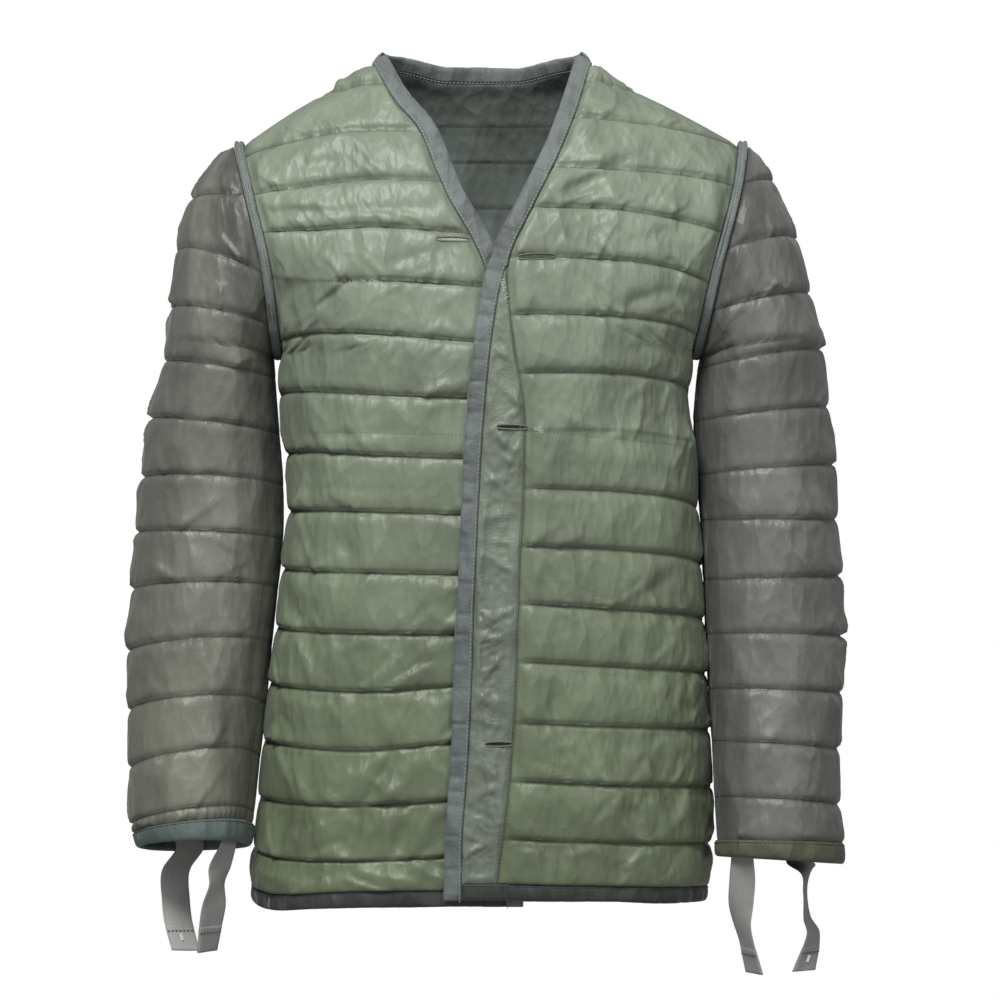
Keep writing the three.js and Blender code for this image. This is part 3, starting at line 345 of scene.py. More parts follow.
center_y = curve(SHOULDER_SET_BACK, "z", "y")
depth = {face: curve(SHOULDERS + CHEST + TRUNK, "z", face) for face in ("front", "back")}
SIDES = {}
for side_name, side_sign, edge_rows in (("right", -1, RIGHT_EDGE), ("left", 1, LEFT_EDGE)):
    SIDES[side_name] = {
        "sign": side_sign,
        "shoulder": curve(SHOULDERS, "z", side_name),
        "trunk": curve(TRUNK, "z", side_name),
        "armhole": curve(ARMHOLE, "z", side_name),
        "tape": curve(edge_rows, "z", "tape"),
        "quilting": curve(edge_rows, "z", "quilting"),
    }


def armhole_reach(z):
    """The armhole's half depth from front to back at this height."""
    share = (z - ARMHOLE_MIDDLE) / ARMHOLE_HALF_HEIGHT
    return ARMHOLE_HALF_DEPTH * np.sqrt(np.maximum(0, 1 - share ** 2))


def half_width(side, z, face):
    """How far the body's section reaches to one side, so that the armhole's edge lies on it."""
    share = np.maximum(1 - (armhole_reach(z) / depth[face](z)) ** SECTION_POWER, 1e-6)
    beside_armhole = (side["armhole"](z) - ARMHOLE_HALF_SEAM) / share ** (1 / SECTION_POWER)
    return np.where(z >= ARMHOLE_TOP, side["shoulder"](z),
                    np.where(z <= ARMHOLE_BOTTOM, side["trunk"](z), beside_armhole))


def half_width_towards(side_name, positive, z, face):
    """The half width on this side of the body, or on the other where positive is false."""
    other = "left" if side_name == "right" else "right"
    return np.where(positive, half_width(SIDES[side_name], z, face), half_width(SIDES[other], z, face))


def body_point(side_name, face, angle, z):
    """A point of the body's level section at a height. An angle of 0 is at the named side."""
    towards = -1 if face == "front" else 1
    width = half_width_towards(side_name, np.cos(angle) >= 0, z, face)
    across = np.sign(np.cos(angle)) * np.abs(np.cos(angle)) ** (2 / SECTION_POWER)
    reach = depth[face](z) * np.abs(np.sin(angle)) ** (2 / SECTION_POWER) + SEAM_GAP / 2
    return np.stack([
        SIDES[side_name]["sign"] * across * width,
        center_y(z) + towards * reach,
        z + 0 * angle,
    ], axis=-1)


def angle_at(side_name, face, x, z):
    """The angle on the body's level section at which x lies."""
    across = x * SIDES[side_name]["sign"]
    width = half_width_towards(side_name, across >= 0, z, face)
    share = np.minimum(1, np.abs(across) / width)
    return np.arccos(np.where(across < 0, -1, 1) * share ** (SECTION_POWER / 2))


def outer_angle(face, z):
    """The angle at which a front or the back ends: the side seam, or the armhole's edge."""
    return np.arcsin(np.minimum(1, (armhole_reach(z) / depth[face](z)) ** (SECTION_POWER / 2)))


def armhole_point(side_name, angle):
    z = ARMHOLE_MIDDLE + ARMHOLE_HALF_HEIGHT * np.cos(angle)
    side = SIDES[side_name]
    y = center_y(z) - ARMHOLE_HALF_DEPTH * np.sin(angle)
    return np.stack([side["sign"] * side["armhole"](z), y, z], axis=-1)


def armhole_fade(side_name, points):
    """0 beside the armhole's seam, where the cloth is pinched, and 1 away from it."""
    nearest = np.full(points.shape[:-1], 1.0)
    for at in armhole_point(side_name, np.linspace(0, 2 * np.pi, 96, endpoint=False)):
        nearest = np.minimum(nearest, np.linalg.norm(points - at, axis=-1))
    return smooth(nearest, ARMHOLE_HALF_SEAM + 0.001, PINCHED)


def normals_of(points, outward):
    """The directions square to a grid of points, on the side that outward points to."""
    normal = np.cross(np.gradient(points, axis=1), np.gradient(points, axis=0))
    normal /= np.maximum(np.linalg.norm(normal, axis=-1, keepdims=True), 1e-12)
    flip = np.sum(normal * outward, axis=-1, keepdims=True) < 0
    return np.where(flip, -normal, normal)


def neck_rise(points):
    """How much the cloth is raised beside the neck, where the tape stands up at each neck point."""
    x, z = np.abs(points[..., 0] + NECK_MIDDLE), points[..., 2]
    return NECK_RISE * smooth(z, -0.05, -0.008) * smooth(x, 0.03, 0.082) * (1 - smooth(x, 0.1, 0.125))


def overlap_shift(side_name, points):
    """How far the left front is moved out and the right front in, where the left lies over the right."""
    below = smooth(-points[..., 2], 0.06, 0.17)
    if side_name == "left":
        return OVERLAP_OUT * below * (1 - smooth(points[..., 0], 0.035, 0.095))
    return -OVERLAP_IN * below * smooth(points[..., 0], -0.11, -0.05)


def line_heights(lines, u, v):
    """The height at u across and v stitching lines up, on smooth curves through the table's four columns."""
    rows = [dict(row, i=i) for i, row in enumerate(lines)]
    knots = [curve(rows, "i", of)(v) for of in ("edge", "inner", "outer", "side")]
    spot = np.clip(u * 3, 0, 3)
    i = np.clip(np.floor(spot).astype(int), 0, 2)
    t = spot - i
    stacked = np.broadcast_arrays(*knots)
    slopes = [stacked[1] - stacked[0], (stacked[2] - stacked[0]) / 2, (stacked[3] - stacked[1]) / 2,
              stacked[3] - stacked[2]]
    height = np.zeros(np.broadcast(u, v).shape)
    for k in range(3):
        piece = (stacked[k] * (2 * t**3 - 3 * t**2 + 1) + slopes[k] * (t**3 - 2 * t**2 + t)
                 + stacked[k + 1] * (3 * t**2 - 2 * t**3) + slopes[k + 1] * (t**3 - t**2))
        height = np.where(i == k, piece, height)
    return height


def channel_share(lines, v):
    """How far up its channel a point lies, from 0 to 1. A line that isn't sewn doesn't end a channel."""
    sewn = np.array([i for i, row in enumerate(lines) if row.get("sewn", True)] + [len(lines)], float)
    low = np.clip(np.searchsorted(sewn, v, side="right") - 1, 0, len(sewn) - 2)
    return np.clip((v - sewn[low]) / (sewn[low + 1] - sewn[low]), 0, 1)


def fold_rise(folds, points):
    """How far the folds of a table raise the cloth at each point."""
    rise = np.zeros(points.shape[:-1])
    for fold in folds:
        start = np.array([fold["x1"], fold["z1"]])
        along = np.array([fold["x2"], fold["z2"]]) - start
        away = points[..., [0, 2]] - start
        share = np.clip(away @ along / (along @ along), 0, 1)
        distance = np.linalg.norm(away - share[..., None] * along, axis=-1)
        ends_fade = np.sin(np.pi * mix(0.1, 0.9, share))
        rise += fold["rise"] * np.exp(-((distance / fold["half"]) ** 2)) * ends_fade
    return rise


def pair_slices(rows, columns, down, across):
    """Pairs of cloth points so far apart, in groups in which no point comes twice."""
    groups = []
    step = 2 * max(down, abs(across))
    for first in range(step):
        if down:
            count = len(range(first, rows - down, step))
            if not count:
                continue
            a_rows = slice(first, rows - down, step)
            b_rows = slice(first + down, first + down + (count - 1) * step + 1, step)
            a_columns = slice(max(0, -across), columns - max(0, across))
            b_columns = slice(max(0, across), columns - max(0, -across))
        else:
            count = len(range(first, columns - across, step))
            if not count:
                continue
            a_rows = b_rows = slice(None)
            a_columns = slice(first, columns - across, step)
            b_columns = slice(first + across, first + across + (count - 1) * step + 1, step)
        groups.append(((a_rows, a_columns), (b_rows, b_columns)))
    return groups


def settle(start, free, slack_across, slack_along, rounds, push, seed):
    """The cloth between stitching lines, given some slack, buckles into puckers and settles."""
    rows, columns = start.shape[:2]
    random = np.random.default_rng(seed)
    cloth = start.copy()
    outward = normals_of(start, start - start.mean(axis=(0, 1)))
    cloth += outward * (random.normal(0, SETTLING_NOISE, (rows, columns, 1)) * free[..., None])
    links = []
    for down, across, slack, stiff in ((0, 1, slack_across, 1.0), (1, 0, slack_along, 1.0),
                                       (1, 1, None, DIAGONAL_STIFFNESS),
                                       (1, -1, None, DIAGONAL_STIFFNESS),
                                       (0, 2, slack_across, BENDING_STIFFNESS),
                                       (2, 0, slack_along, BENDING_STIFFNESS)):
        for a, b in pair_slices(rows, columns, down, across):
            rest = np.linalg.norm(start[b] - start[a], axis=-1)
            if slack is None:
                rest = rest * (1 + (slack_across[a] + slack_along[a]) / 2)
            else:
                rest = rest * (1 + slack[a])
            weight_a, weight_b = free[a], free[b]
            total = np.maximum(weight_a + weight_b, 1e-6)
            links.append((a, b, rest, stiff * weight_a / total, stiff * weight_b / total))
    for turn in range(rounds):
        if turn % 8 == 0:
            outward = normals_of(cloth, outward)
        cloth += outward * (push * free[..., None])
        for a, b, rest, share_a, share_b in links:
            gap = cloth[b] - cloth[a]
            length = np.sqrt(np.einsum("ijk,ijk->ij", gap, gap))
            strain = 1 - rest / np.maximum(length, 1e-9)
            cloth[a] += (strain * share_a)[..., None] * gap
            cloth[b] -= (strain * share_b)[..., None] * gap
    return cloth


def cloth_object(name, outer, inner, u, v, material):
    """A closed piece of cloth from two grids of points, the side that shows and the lining."""
    rows, columns = outer.shape[:2]
    count = rows * columns
    index = np.arange(count).reshape(rows, columns)

    def quads(a, b, c, d):
        return np.stack([a, b, c, d], axis=-1).reshape(-1, 4)

    faces = [quads(index[:-1, :-1], index[:-1, 1:], index[1:, 1:], index[1:, :-1]),
             quads(index[:-1, :-1], index[1:, :-1], index[1:, 1:], index[:-1, 1:]) + count]
    for line, turned in ((index[0], True), (index[-1], False), (index[:, 0], False), (index[:, -1], True)):
        a, b = line[:-1], line[1:]
        rim = quads(a, b, b + count, a + count)
        faces.append(rim[:, ::-1] if turned else rim)
    faces = np.concatenate(faces)
    points = np.concatenate([outer.reshape(-1, 3), inner.reshape(-1, 3)])
    corners = points[faces]
    volume = np.sum(corners[:, 0] * np.cross(corners[:, 1], corners[:, 2])
                    + corners[:, 0] * np.cross(corners[:, 2], corners[:, 3]))
    if volume < 0:
        faces = faces[:, ::-1]
    mesh = bpy.data.meshes.new(name)
    mesh.from_pydata(points.tolist(), [], faces.tolist())
    mesh.polygons.foreach_set("use_smooth", [True] * len(mesh.polygons))
    layer = mesh.uv_layers.new(name="cloth")
    spots = np.stack([np.tile(u.ravel(), 2), np.tile(v.ravel(), 2)], axis=-1)
    layer.data.foreach_set("uv", spots[faces.ravel()].ravel())
    mesh.materials.append(material)
    piece = bpy.data.objects.new(name, mesh)
    scene.collection.objects.link(piece)
    return piece


def nylon(name, high, low, height_high, height_low, roughness=0.45, sheen=0.1, patch=0.12, bump=0.25,
          creased=0.0, puckered=0.0, bands=()):
    """Woven nylon. Its colour goes from high to low with height, with faded patches. It has fine crumples,
    and where asked long sharp creases, and short puckers beside the stitching lines, where painted shade
    darkens the colour; and bands along it of painted highlight and painted shade: from one part of the way
    across to another, and a gain, above 1 for a lighter band and below 1 for a darker one."""
    material, tree = new_material(name, {"Roughness": roughness, "Specular IOR Level": 0.4,
                                         "Sheen Weight": sheen, "Sheen Roughness": 0.4})
    place = node(tree, "ShaderNodeTexCoord", {}).outputs["Object"]

    def noise(vector, scale, detail, rough, distortion=0.0):
        return node(tree, "ShaderNodeTexNoise", {"Scale": scale, "Detail": detail, "Roughness": rough,
                                                 "Distortion": distortion, "Vector": vector}).outputs["Fac"]

    def ranged(value, low_in, high_in, low_out, high_out, way="LINEAR"):
        return node(tree, "ShaderNodeMapRange", {"From Min": low_in, "From Max": high_in, "To Min": low_out,
                                                 "To Max": high_out, "Value": value},
                    interpolation_type=way).outputs["Result"]

    def turned(angle, stretch):
        return node(tree, "ShaderNodeMapping", {"Rotation": (0, angle, 0), "Scale": (1, 1, stretch),
                                                "Vector": place}).outputs["Vector"]

    def maths(operation, a, b):
        return node(tree, "ShaderNodeMath", {0: a, 1: b}, operation=operation).outputs[0]

    height = node(tree, "ShaderNodeSeparateXYZ", {0: place}).outputs["Z"]
    ground = node(tree, "ShaderNodeMix", {
        6: (*low, 1), 7: (*high, 1), "Factor": ranged(height, height_low, height_high, 0, 1, "SMOOTHSTEP")},
        data_type="RGBA")
    shade = ranged(noise(place, 14, 5, 0.6), 0.3, 0.7, 1 - patch, 1 + patch)
    spots = node(tree, "ShaderNodeUVMap", {}, uv_map="cloth").outputs["UV"]
    across, along, _ = node(tree, "ShaderNodeSeparateXYZ", {0: spots}).outputs
    if puckered:
        from_seam = maths("PINGPONG", along, 0.5)
        # Painted shade: the colour is darkened beside each stitching line, where the channels dip into
        # shadow.
        shade = maths("MULTIPLY", shade, ranged(from_seam, 0, PAINTED_SEAM_SHADE_HALF, PAINTED_SEAM_SHADE, 1, "SMOOTHSTEP"))
    # Painted highlight and painted shade: each band makes the colour lighter or darker along the piece.
    for from_share, to_share, gain in bands:
        edges = [ranged(across, at - 0.02, at + 0.02, 0, 1, "SMOOTHSTEP") for at in (from_share, to_share)]
        shade = maths("MULTIPLY", shade, ranged(maths("SUBTRACT", *edges), 0, 1, 1, gain))
    colour = node(tree, "ShaderNodeVectorMath", {0: ground.outputs[2], "Scale": shade}, operation="SCALE")
    relief = maths("MULTIPLY", noise(place, 160, 6, 0.65, 0.6), bump)
    if creased:
        for angle, scale, rise in CREASE_FACETS:
            facets = node(tree, "ShaderNodeTexVoronoi", {"Scale": scale, "Randomness": 1,
                                                         "Vector": turned(angle, 0.45)})
            relief = maths("ADD", relief, maths("MULTIPLY", facets.outputs["Distance"], creased * rise))
    if puckered:
        beside_seam = ranged(from_seam, 0, 0.3, 1, 0, "SMOOTHSTEP")
        streaks = noise(turned(0, 0.22), 150, 2, 0.5, 0.3)
        relief = maths("ADD", relief, maths("MULTIPLY", maths("MULTIPLY", streaks, beside_seam), puckered))
    raised = node(tree, "ShaderNodeBump", {"Strength": 1, "Distance": 0.0008, "Height": relief})
    feed(tree, tree.nodes["Principled BSDF"], {"Base Color": colour.outputs["Vector"],
                                               "Normal": raised.outputs["Normal"]})
    return material


def quilted_grid(columns, lines, point_at):
    u, v = np.meshgrid(np.linspace(0, 1, columns + 1),
                       np.linspace(0, len(lines) - 1, (len(lines) - 1) * ROWS_PER_CHANNEL + 1))
    return u, v, point_at(u, v)


def scallops(u, v, seed):
    """Smooth chance waves along each stitching line, from -1 to 1, different for each channel."""
    random = np.random.default_rng(seed + 50)
    channel = np.floor(v + 0.5).astype(int)
    waves = 0 * u
    for count in (19, 31, 47):
        phases = random.uniform(0, 2 * np.pi, channel.max() + 1)
        bends = random.uniform(0.5, 2.5, channel.max() + 1)
        at = u + 0.02 * np.sin(2 * np.pi * bends[channel] * u + phases[channel])
        waves += np.sin(2 * np.pi * count * at + phases[channel]) / 3
    return waves


def sharp_creases(across, up, v, size, seed):
    """Short slanting creases that start at the stitching lines, each steep on one side."""
    random = np.random.default_rng(seed + 90)
    rise = 0 * across
    channels = int(np.ceil(v.max()))
    for channel in range(channels):
        for _ in range(int(size[0] / CREASE_SPACING)):
            start_across = random.uniform(0, size[0])
            start = np.array([start_across, (channel + random.choice([0.04, 0.96])) * size[1]])
            slant = random.uniform(0.35, 1.25) * random.choice([-1, 1])
            length = size[1] * random.uniform(0.35, 0.95)
            towards = np.array([np.sin(slant), np.cos(slant)])
            if start[1] > (channel + 0.5) * size[1]:
                towards = -towards
            height = CREASE_HEIGHT * random.uniform(0.35, 1)
            x, z = across - start[0], up - start[1]
            share = np.clip((x * towards[0] + z * towards[1]) / length, 0, 1)
            past_x = x - share * length * towards[0]
            past_z = z - share * length * towards[1]
            beside = past_x * towards[1] - past_z * towards[0]
            past = np.hypot(past_x, past_z)
            steep = np.where(beside > 0, CREASE_STEEP, CREASE_GENTLE)
            rise += height * np.exp(-past / steep) * (1 - share) ** 0.5
    return rise


def quilt(u, v, base, out, lines, puff, puff_share, folds_rise, seed, size, loosened=0):
    """The side that shows and the lining of a quilted piece, from its seam-level points. Each channel sags,
    so it is fullest low down, and its cloth is gathered into small scallops beside the stitching.
    size is the piece's width and a channel's height. loosened is 1 where stitches have worked loose."""
    share = channel_share(lines, v)
    upwards = "edge" in lines[0]
    sagging = share ** CHANNEL_SAG if upwards else 1 - (1 - share) ** CHANNEL_SAG
    gathers = scallops(u, v, seed)
    sagging = np.clip(sagging + SCALLOP * gathers * np.sin(np.pi * sagging), 0, 1)
    fullness = (4 * sagging * (1 - sagging)) ** CHANNEL_ROUNDNESS
    fullness = mix(fullness, np.maximum(fullness, LOOSE_FULLNESS), loosened)
    folds_rise = folds_rise + sharp_creases(u * size[0], v * size[1], v, size, seed)
    target = base + out * ((puff * fullness) * puff_share + folds_rise * fullness * puff_share)[..., None]
    free = smooth(fullness, 0.12, 0.6) * np.clip(puff_share, 0, 1)
    free[fullness < 0.05] = 0
    free[:, 0] = free[:, -1] = 0
    free[0] = free[-1] = 0
    loose = CLOTH_SLACK * free
    outer = settle(target, free, loose, 0.4 * loose, SETTLING_ROUNDS, SETTLING_PUSH, seed)
    moved = np.clip(np.sum((outer - target) * out, axis=-1, keepdims=True), -0.003, 0.0035)
    outer = target + (outer - target) * SHIFT_KEPT + out * moved * RISE_KEPT
    inner = base - out * (WALL + LINING_PUFF * fullness * puff_share)[..., None]
    return outer, inner


FRONT_GREEN = nylon("green nylon, fronts", (0.185, 0.22, 0.162), (0.122, 0.152, 0.088), -0.1, -0.75,
                    creased=1.6, puckered=0.8, patch=0.2)
FRONTS = {
    "right": {"lines": RIGHT_FRONT_LINES, "folds": RIGHT_FOLDS, "seed": 3},
    "left": {"lines": LEFT_FRONT_LINES, "folds": LEFT_FOLDS, "seed": 4},
}


def front_points(side_name, lines, u, v):
    edge_z = line_heights(lines, 0 * u, v)
    side_z = line_heights(lines, 0 * u + 1, v)
    start = angle_at(side_name, "front", SIDES[side_name]["quilting"](edge_z), edge_z)
    angle = mix(start, outer_angle("front", side_z), u)
    return body_point(side_name, "front", angle, line_heights(lines, u, v))


def flatten_side(out, column, z):
    """Turns the outward directions at a side seam so that the two pieces there meet."""
    beside_armhole = (z[:, column] < ARMHOLE_TOP) & (z[:, column] > ARMHOLE_BOTTOM)
    out[beside_armhole, column, 0] = 0
    out[~beside_armhole, column, 1] = 0
    out[:, column] /= np.linalg.norm(out[:, column], axis=-1, keepdims=True)


def shoulder_fade(beside_seam, points):
    """Cloth is drawn flat over the shoulder seam. beside_seam is 1 at the seam."""
    near = smooth(points[..., 2], -0.1, -0.065) * smooth(beside_seam, 0.35, 0.85)
    return mix(1, SHOULDER_PUFF_SHARE, near)


for side_name, front in FRONTS.items():
    lines = front["lines"]
    u, v, base = quilted_grid(FRONT_COLUMNS, lines, lambda a, b: front_points(side_name, lines, a, b))
    out = normals_of(base, base * (1, 2, 0) + (0, 0, 0.04))
    flatten_side(out, -1, base[..., 2])
    base += out * overlap_shift(side_name, base)[..., None]
    base[..., 2] += neck_rise(base)
    share = smooth(u, 0, 0.035) * mix(1, SIDE_PUFF_SHARE, smooth(u, 0.85, 1))
    share *= armhole_fade(side_name, base) * smooth(len(lines) - 1 - v, 0, 0.5)
    share *= shoulder_fade(u, base)
    loosened = np.exp(-(((v - LOOSE_LINE) / 0.3) ** 2))
    loosened = loosened * smooth(-base[..., 0], LOOSE_FROM, LOOSE_FROM + 0.012)
    outer, inner = quilt(u, v, base, out, lines, BODY_PUFF, share, fold_rise(front["folds"], base),
                         front["seed"], (0.24, 0.05), loosened=loosened)
    front.update(u=u, v=v, base=base, out=out, outer=outer)
    piece = cloth_object(f"quilting_front_{side_name}", outer, inner, u, v, FRONT_GREEN)
    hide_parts(f"front_{side_name}")
    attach(piece, "root")

# The back: the same quilted cloth in one piece, from side seam to side seam, with grey lining cloth inside.
BACK_COLUMNS = 150
NECK_SHARE = 0.22
BACK_HEIGHTS = (-0.737, -0.7, -0.653, -0.603, -0.553, -0.503, -0.452, -0.4, -0.35, -0.299, -0.249,
                -0.203, -0.158, -0.118, -0.076, -0.043, NECK)
BACK_LINES = table("edge inner outer side", [(z, z, z, z) for z in BACK_HEIGHTS])


def back_points(u, v):
    z = line_heights(BACK_LINES, u, v)
    outer = outer_angle("back", z)
    return body_point("right", "back", mix(outer, np.pi - outer, u), z)


u, v, base = quilted_grid(BACK_COLUMNS, BACK_LINES, back_points)
out = normals_of(base, base * (1, 2, 0) + (0, 0, 0.04))
flatten_side(out, 0, base[..., 2])
flatten_side(out, -1, base[..., 2])
base[..., 2] += neck_rise(base)
share = mix(1, SIDE_PUFF_SHARE, smooth(np.abs(u - 0.5), 0.42, 0.5))
share *= shoulder_fade(2 * np.abs(u - 0.5), base)
share *= armhole_fade("right", base) * armhole_fade("left", base)
share *= mix(NECK_SHARE, 1, smooth(len(BACK_LINES) - 1 - v, 0, 3))
outer, inner = quilt(u, v, base, out, BACK_LINES, BODY_PUFF, share, 0 * u, 5, (0.5, 0.05))
back = {"u": u, "v": v, "base": base, "out": out, "outer": outer, "lines": BACK_LINES}
LINING = nylon("grey-green nylon, lining", (0.135, 0.158, 0.142), (0.1, 0.125, 0.105), 0, -0.5,
               patch=0.24, creased=1.4, puckered=1.4)
piece = cloth_object("quilting_back", outer, inner, u, v, FRONT_GREEN)
piece.data.materials.append(LINING)
lining_faces = (base.shape[0] - 1) * (base.shape[1] - 1)
slots = np.zeros(len(piece.data.polygons), int)
slots[lining_faces:2 * lining_faces] = 1
piece.data.polygons.foreach_set("material_index", slots)
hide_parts("back")
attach(piece, "root")

# The sleeves: grey nylon, quilted in the same channels, each in one piece with a seam under the arm.
# They bend forward a little, as on an arm that hangs.
SLEEVE_PUFF = 0.0027
SLEEVE_COLUMNS = 164
UNDERARM_PUFF_SHARE = 0.1
CUFF_GATHERS = 46
CUFF_GATHER_HEIGHT = 0.0011
CAP_ROUNDNESS = 0.6
SLEEVE_COLUMNS_OF_TABLE = "innerX innerZ outerX outerZ lift y halfDepth rear"
RIGHT_SLEEVE_LINES = table(SLEEVE_COLUMNS_OF_TABLE, [
    (0, -0.074, 0.2295, -0.073, 0, 0.004, 0.078, 0),
    (0, -0.121, 0.264, -0.121, 0.002, 0.003, 0.078, 0),
    (0, -0.19, 0.2765, -0.169, 0.007, 0.002, 0.078, 0),
    (0, -0.234, 0.281, -0.219, 0.004, 0.001, 0.077, 0),
    (0.1908, -0.281, 0.2875, -0.267, 0.003, 0, 0.074, 0),
    (0.188, -0.331, 0.3, -0.318, 0.004, 0, 0.068, 0.004),
    (0.1845, -0.377, 0.307, -0.371, 0.006, -0.002, 0.063, 0.004),
    (0.1843, -0.425, 0.312, -0.42, 0.005, -0.006, 0.059, 0.004),
    (0.1885, -0.469, 0.3155, -0.471, 0.008, -0.013, 0.057, 0.004),
    (0.195, -0.517, 0.318, -0.526, 0.01, -0.022, 0.0555, 0.008),
    (0.2015, -0.569, 0.316, -0.578, 0.012, -0.033, 0.054, 0.011),
    (0.207, -0.614, 0.3145, -0.629, 0.013, -0.044, 0.052, 0.012),
    (0.212, -0.663, 0.312, -0.677, 0.011, -0.054, 0.0495, 0.012),
    (0.216, -0.694, 0.3065, -0.6975, 0.009, -0.059, 0.047, 0.011),
])
LEFT_SLEEVE_LINES = table(SLEEVE_COLUMNS_OF_TABLE, [
    (0, -0.074, 0.2365, -0.073, 0, 0.004, 0.078, 0),
    (0, -0.11, 0.254, -0.106, 0.002, 0.003, 0.078, 0),
    (0, -0.169, 0.2755, -0.157, 0.004, 0.002, 0.078, 0),
    (0, -0.223, 0.288, -0.206, 0.003, 0.001, 0.078, 0),
    (0.1895, -0.274, 0.2985, -0.256, 0.003, 0, 0.074, 0),
    (0.187, -0.32, 0.3045, -0.307, 0.002, -0.001, 0.068, 0.004),
    (0.1905, -0.368, 0.3095, -0.359, 0.002, -0.004, 0.064, 0.006),
    (0.1932, -0.408, 0.3115, -0.408, 0.001, -0.009, 0.062, 0.006),
    (0.1956, -0.461, 0.314, -0.458, 0.001, -0.015, 0.06, 0.006),
    (0.1973, -0.51, 0.315, -0.512, 0.004, -0.023, 0.058, 0.006),
    (0.1996, -0.558, 0.314, -0.562, 0.004, -0.032, 0.056, 0.007),
    (0.203, -0.604, 0.3105, -0.611, 0.0045, -0.041, 0.054, 0.008),
    (0.205, -0.653, 0.31, -0.66, 0.006, -0.05, 0.052, 0.008),
    (0.2055, -0.692, 0.3135, -0.695, 0.006, -0.056, 0.051, 0.005),
    (0.206, -0.705, 0.3135, -0.712, 0.005, -0.058, 0.05, 0.004),
])
SLEEVES = {
    "right": {"lines": RIGHT_SLEEVE_LINES, "quilting_ends": 12.35, "tape_ends": 13, "seed": 6},
    "left": {"lines": LEFT_SLEEVE_LINES, "quilting_ends": 13, "tape_ends": 14, "seed": 7},
}


def sleeve_surface(side_name, lines):
    """Functions for the sleeve's surface and its axis, and the stitching line at which the underarm lies."""
    side = SIDES[side_name]
    rows = [dict(row, i=i) for i, row in enumerate(lines)]
    column = {of: curve(rows, "i", of) for of in SLEEVE_COLUMNS_OF_TABLE.split()[1:]}
    fine = np.linspace(0, len(lines) - 1, 40001)
    underarm = float(np.interp(-ARMHOLE_BOTTOM, -column["innerZ"](fine), fine))
    closed = [{"i": underarm, "innerX": float(side["armhole"](ARMHOLE_BOTTOM)) + ARMHOLE_HALF_SEAM}]
    closed_inner_x = curve(closed + [row for row in rows if row["i"] > underarm], "i", "innerX")

    def surface(u, v):
        v = np.clip(v, 0, len(lines) - 1)
        inner_z = column["innerZ"](v)
        in_cap = v < underarm
        on_loop = np.arccos(np.clip((ARMHOLE_MIDDLE - inner_z) / ARMHOLE_HALF_HEIGHT, -1, 1))
        start = np.where(in_cap, on_loop - (1 - CAP_ROUNDNESS) * np.maximum(0, on_loop - np.pi / 2), 0)
        half_depth = np.where(in_cap, armhole_reach(inner_z) / np.maximum(np.sin(start), 1e-6),
                              column["halfDepth"](v))
        inner_x = np.where(in_cap, side["armhole"](inner_z) + ARMHOLE_HALF_SEAM, closed_inner_x(v))
        angle = mix(start, 2 * np.pi - start, u)
        outwards = (np.cos(start) - np.cos(angle)) / (1 + np.cos(start))
        around = (np.minimum(angle, 2 * np.pi - angle) - start) / (np.pi - start)
        front = np.where(angle < np.pi, 1, -1)
        behind_inside = np.where((front < 0) & (np.cos(angle) > 0), -np.sin(2 * angle), 0)
        reach = mix(inner_x, column["outerX"](v), outwards) - column["rear"](v) * behind_inside
        lifted = front * column["lift"](v) * np.sin(np.pi * around)
        return np.stack([
            side["sign"] * reach,
            column["y"](v) - half_depth * np.sin(angle) - front * SEAM_GAP / 2,
            mix(inner_z, column["outerZ"](v), outwards) + lifted,
        ], axis=-1)

    def axis(v):
        middle_x = mix(side["armhole"](ARMHOLE_BOTTOM), column["outerX"](v), 0.5)
        return np.stack([side["sign"] * middle_x, column["y"](v), 0 * v], axis=-1)
    return surface, axis, underarm
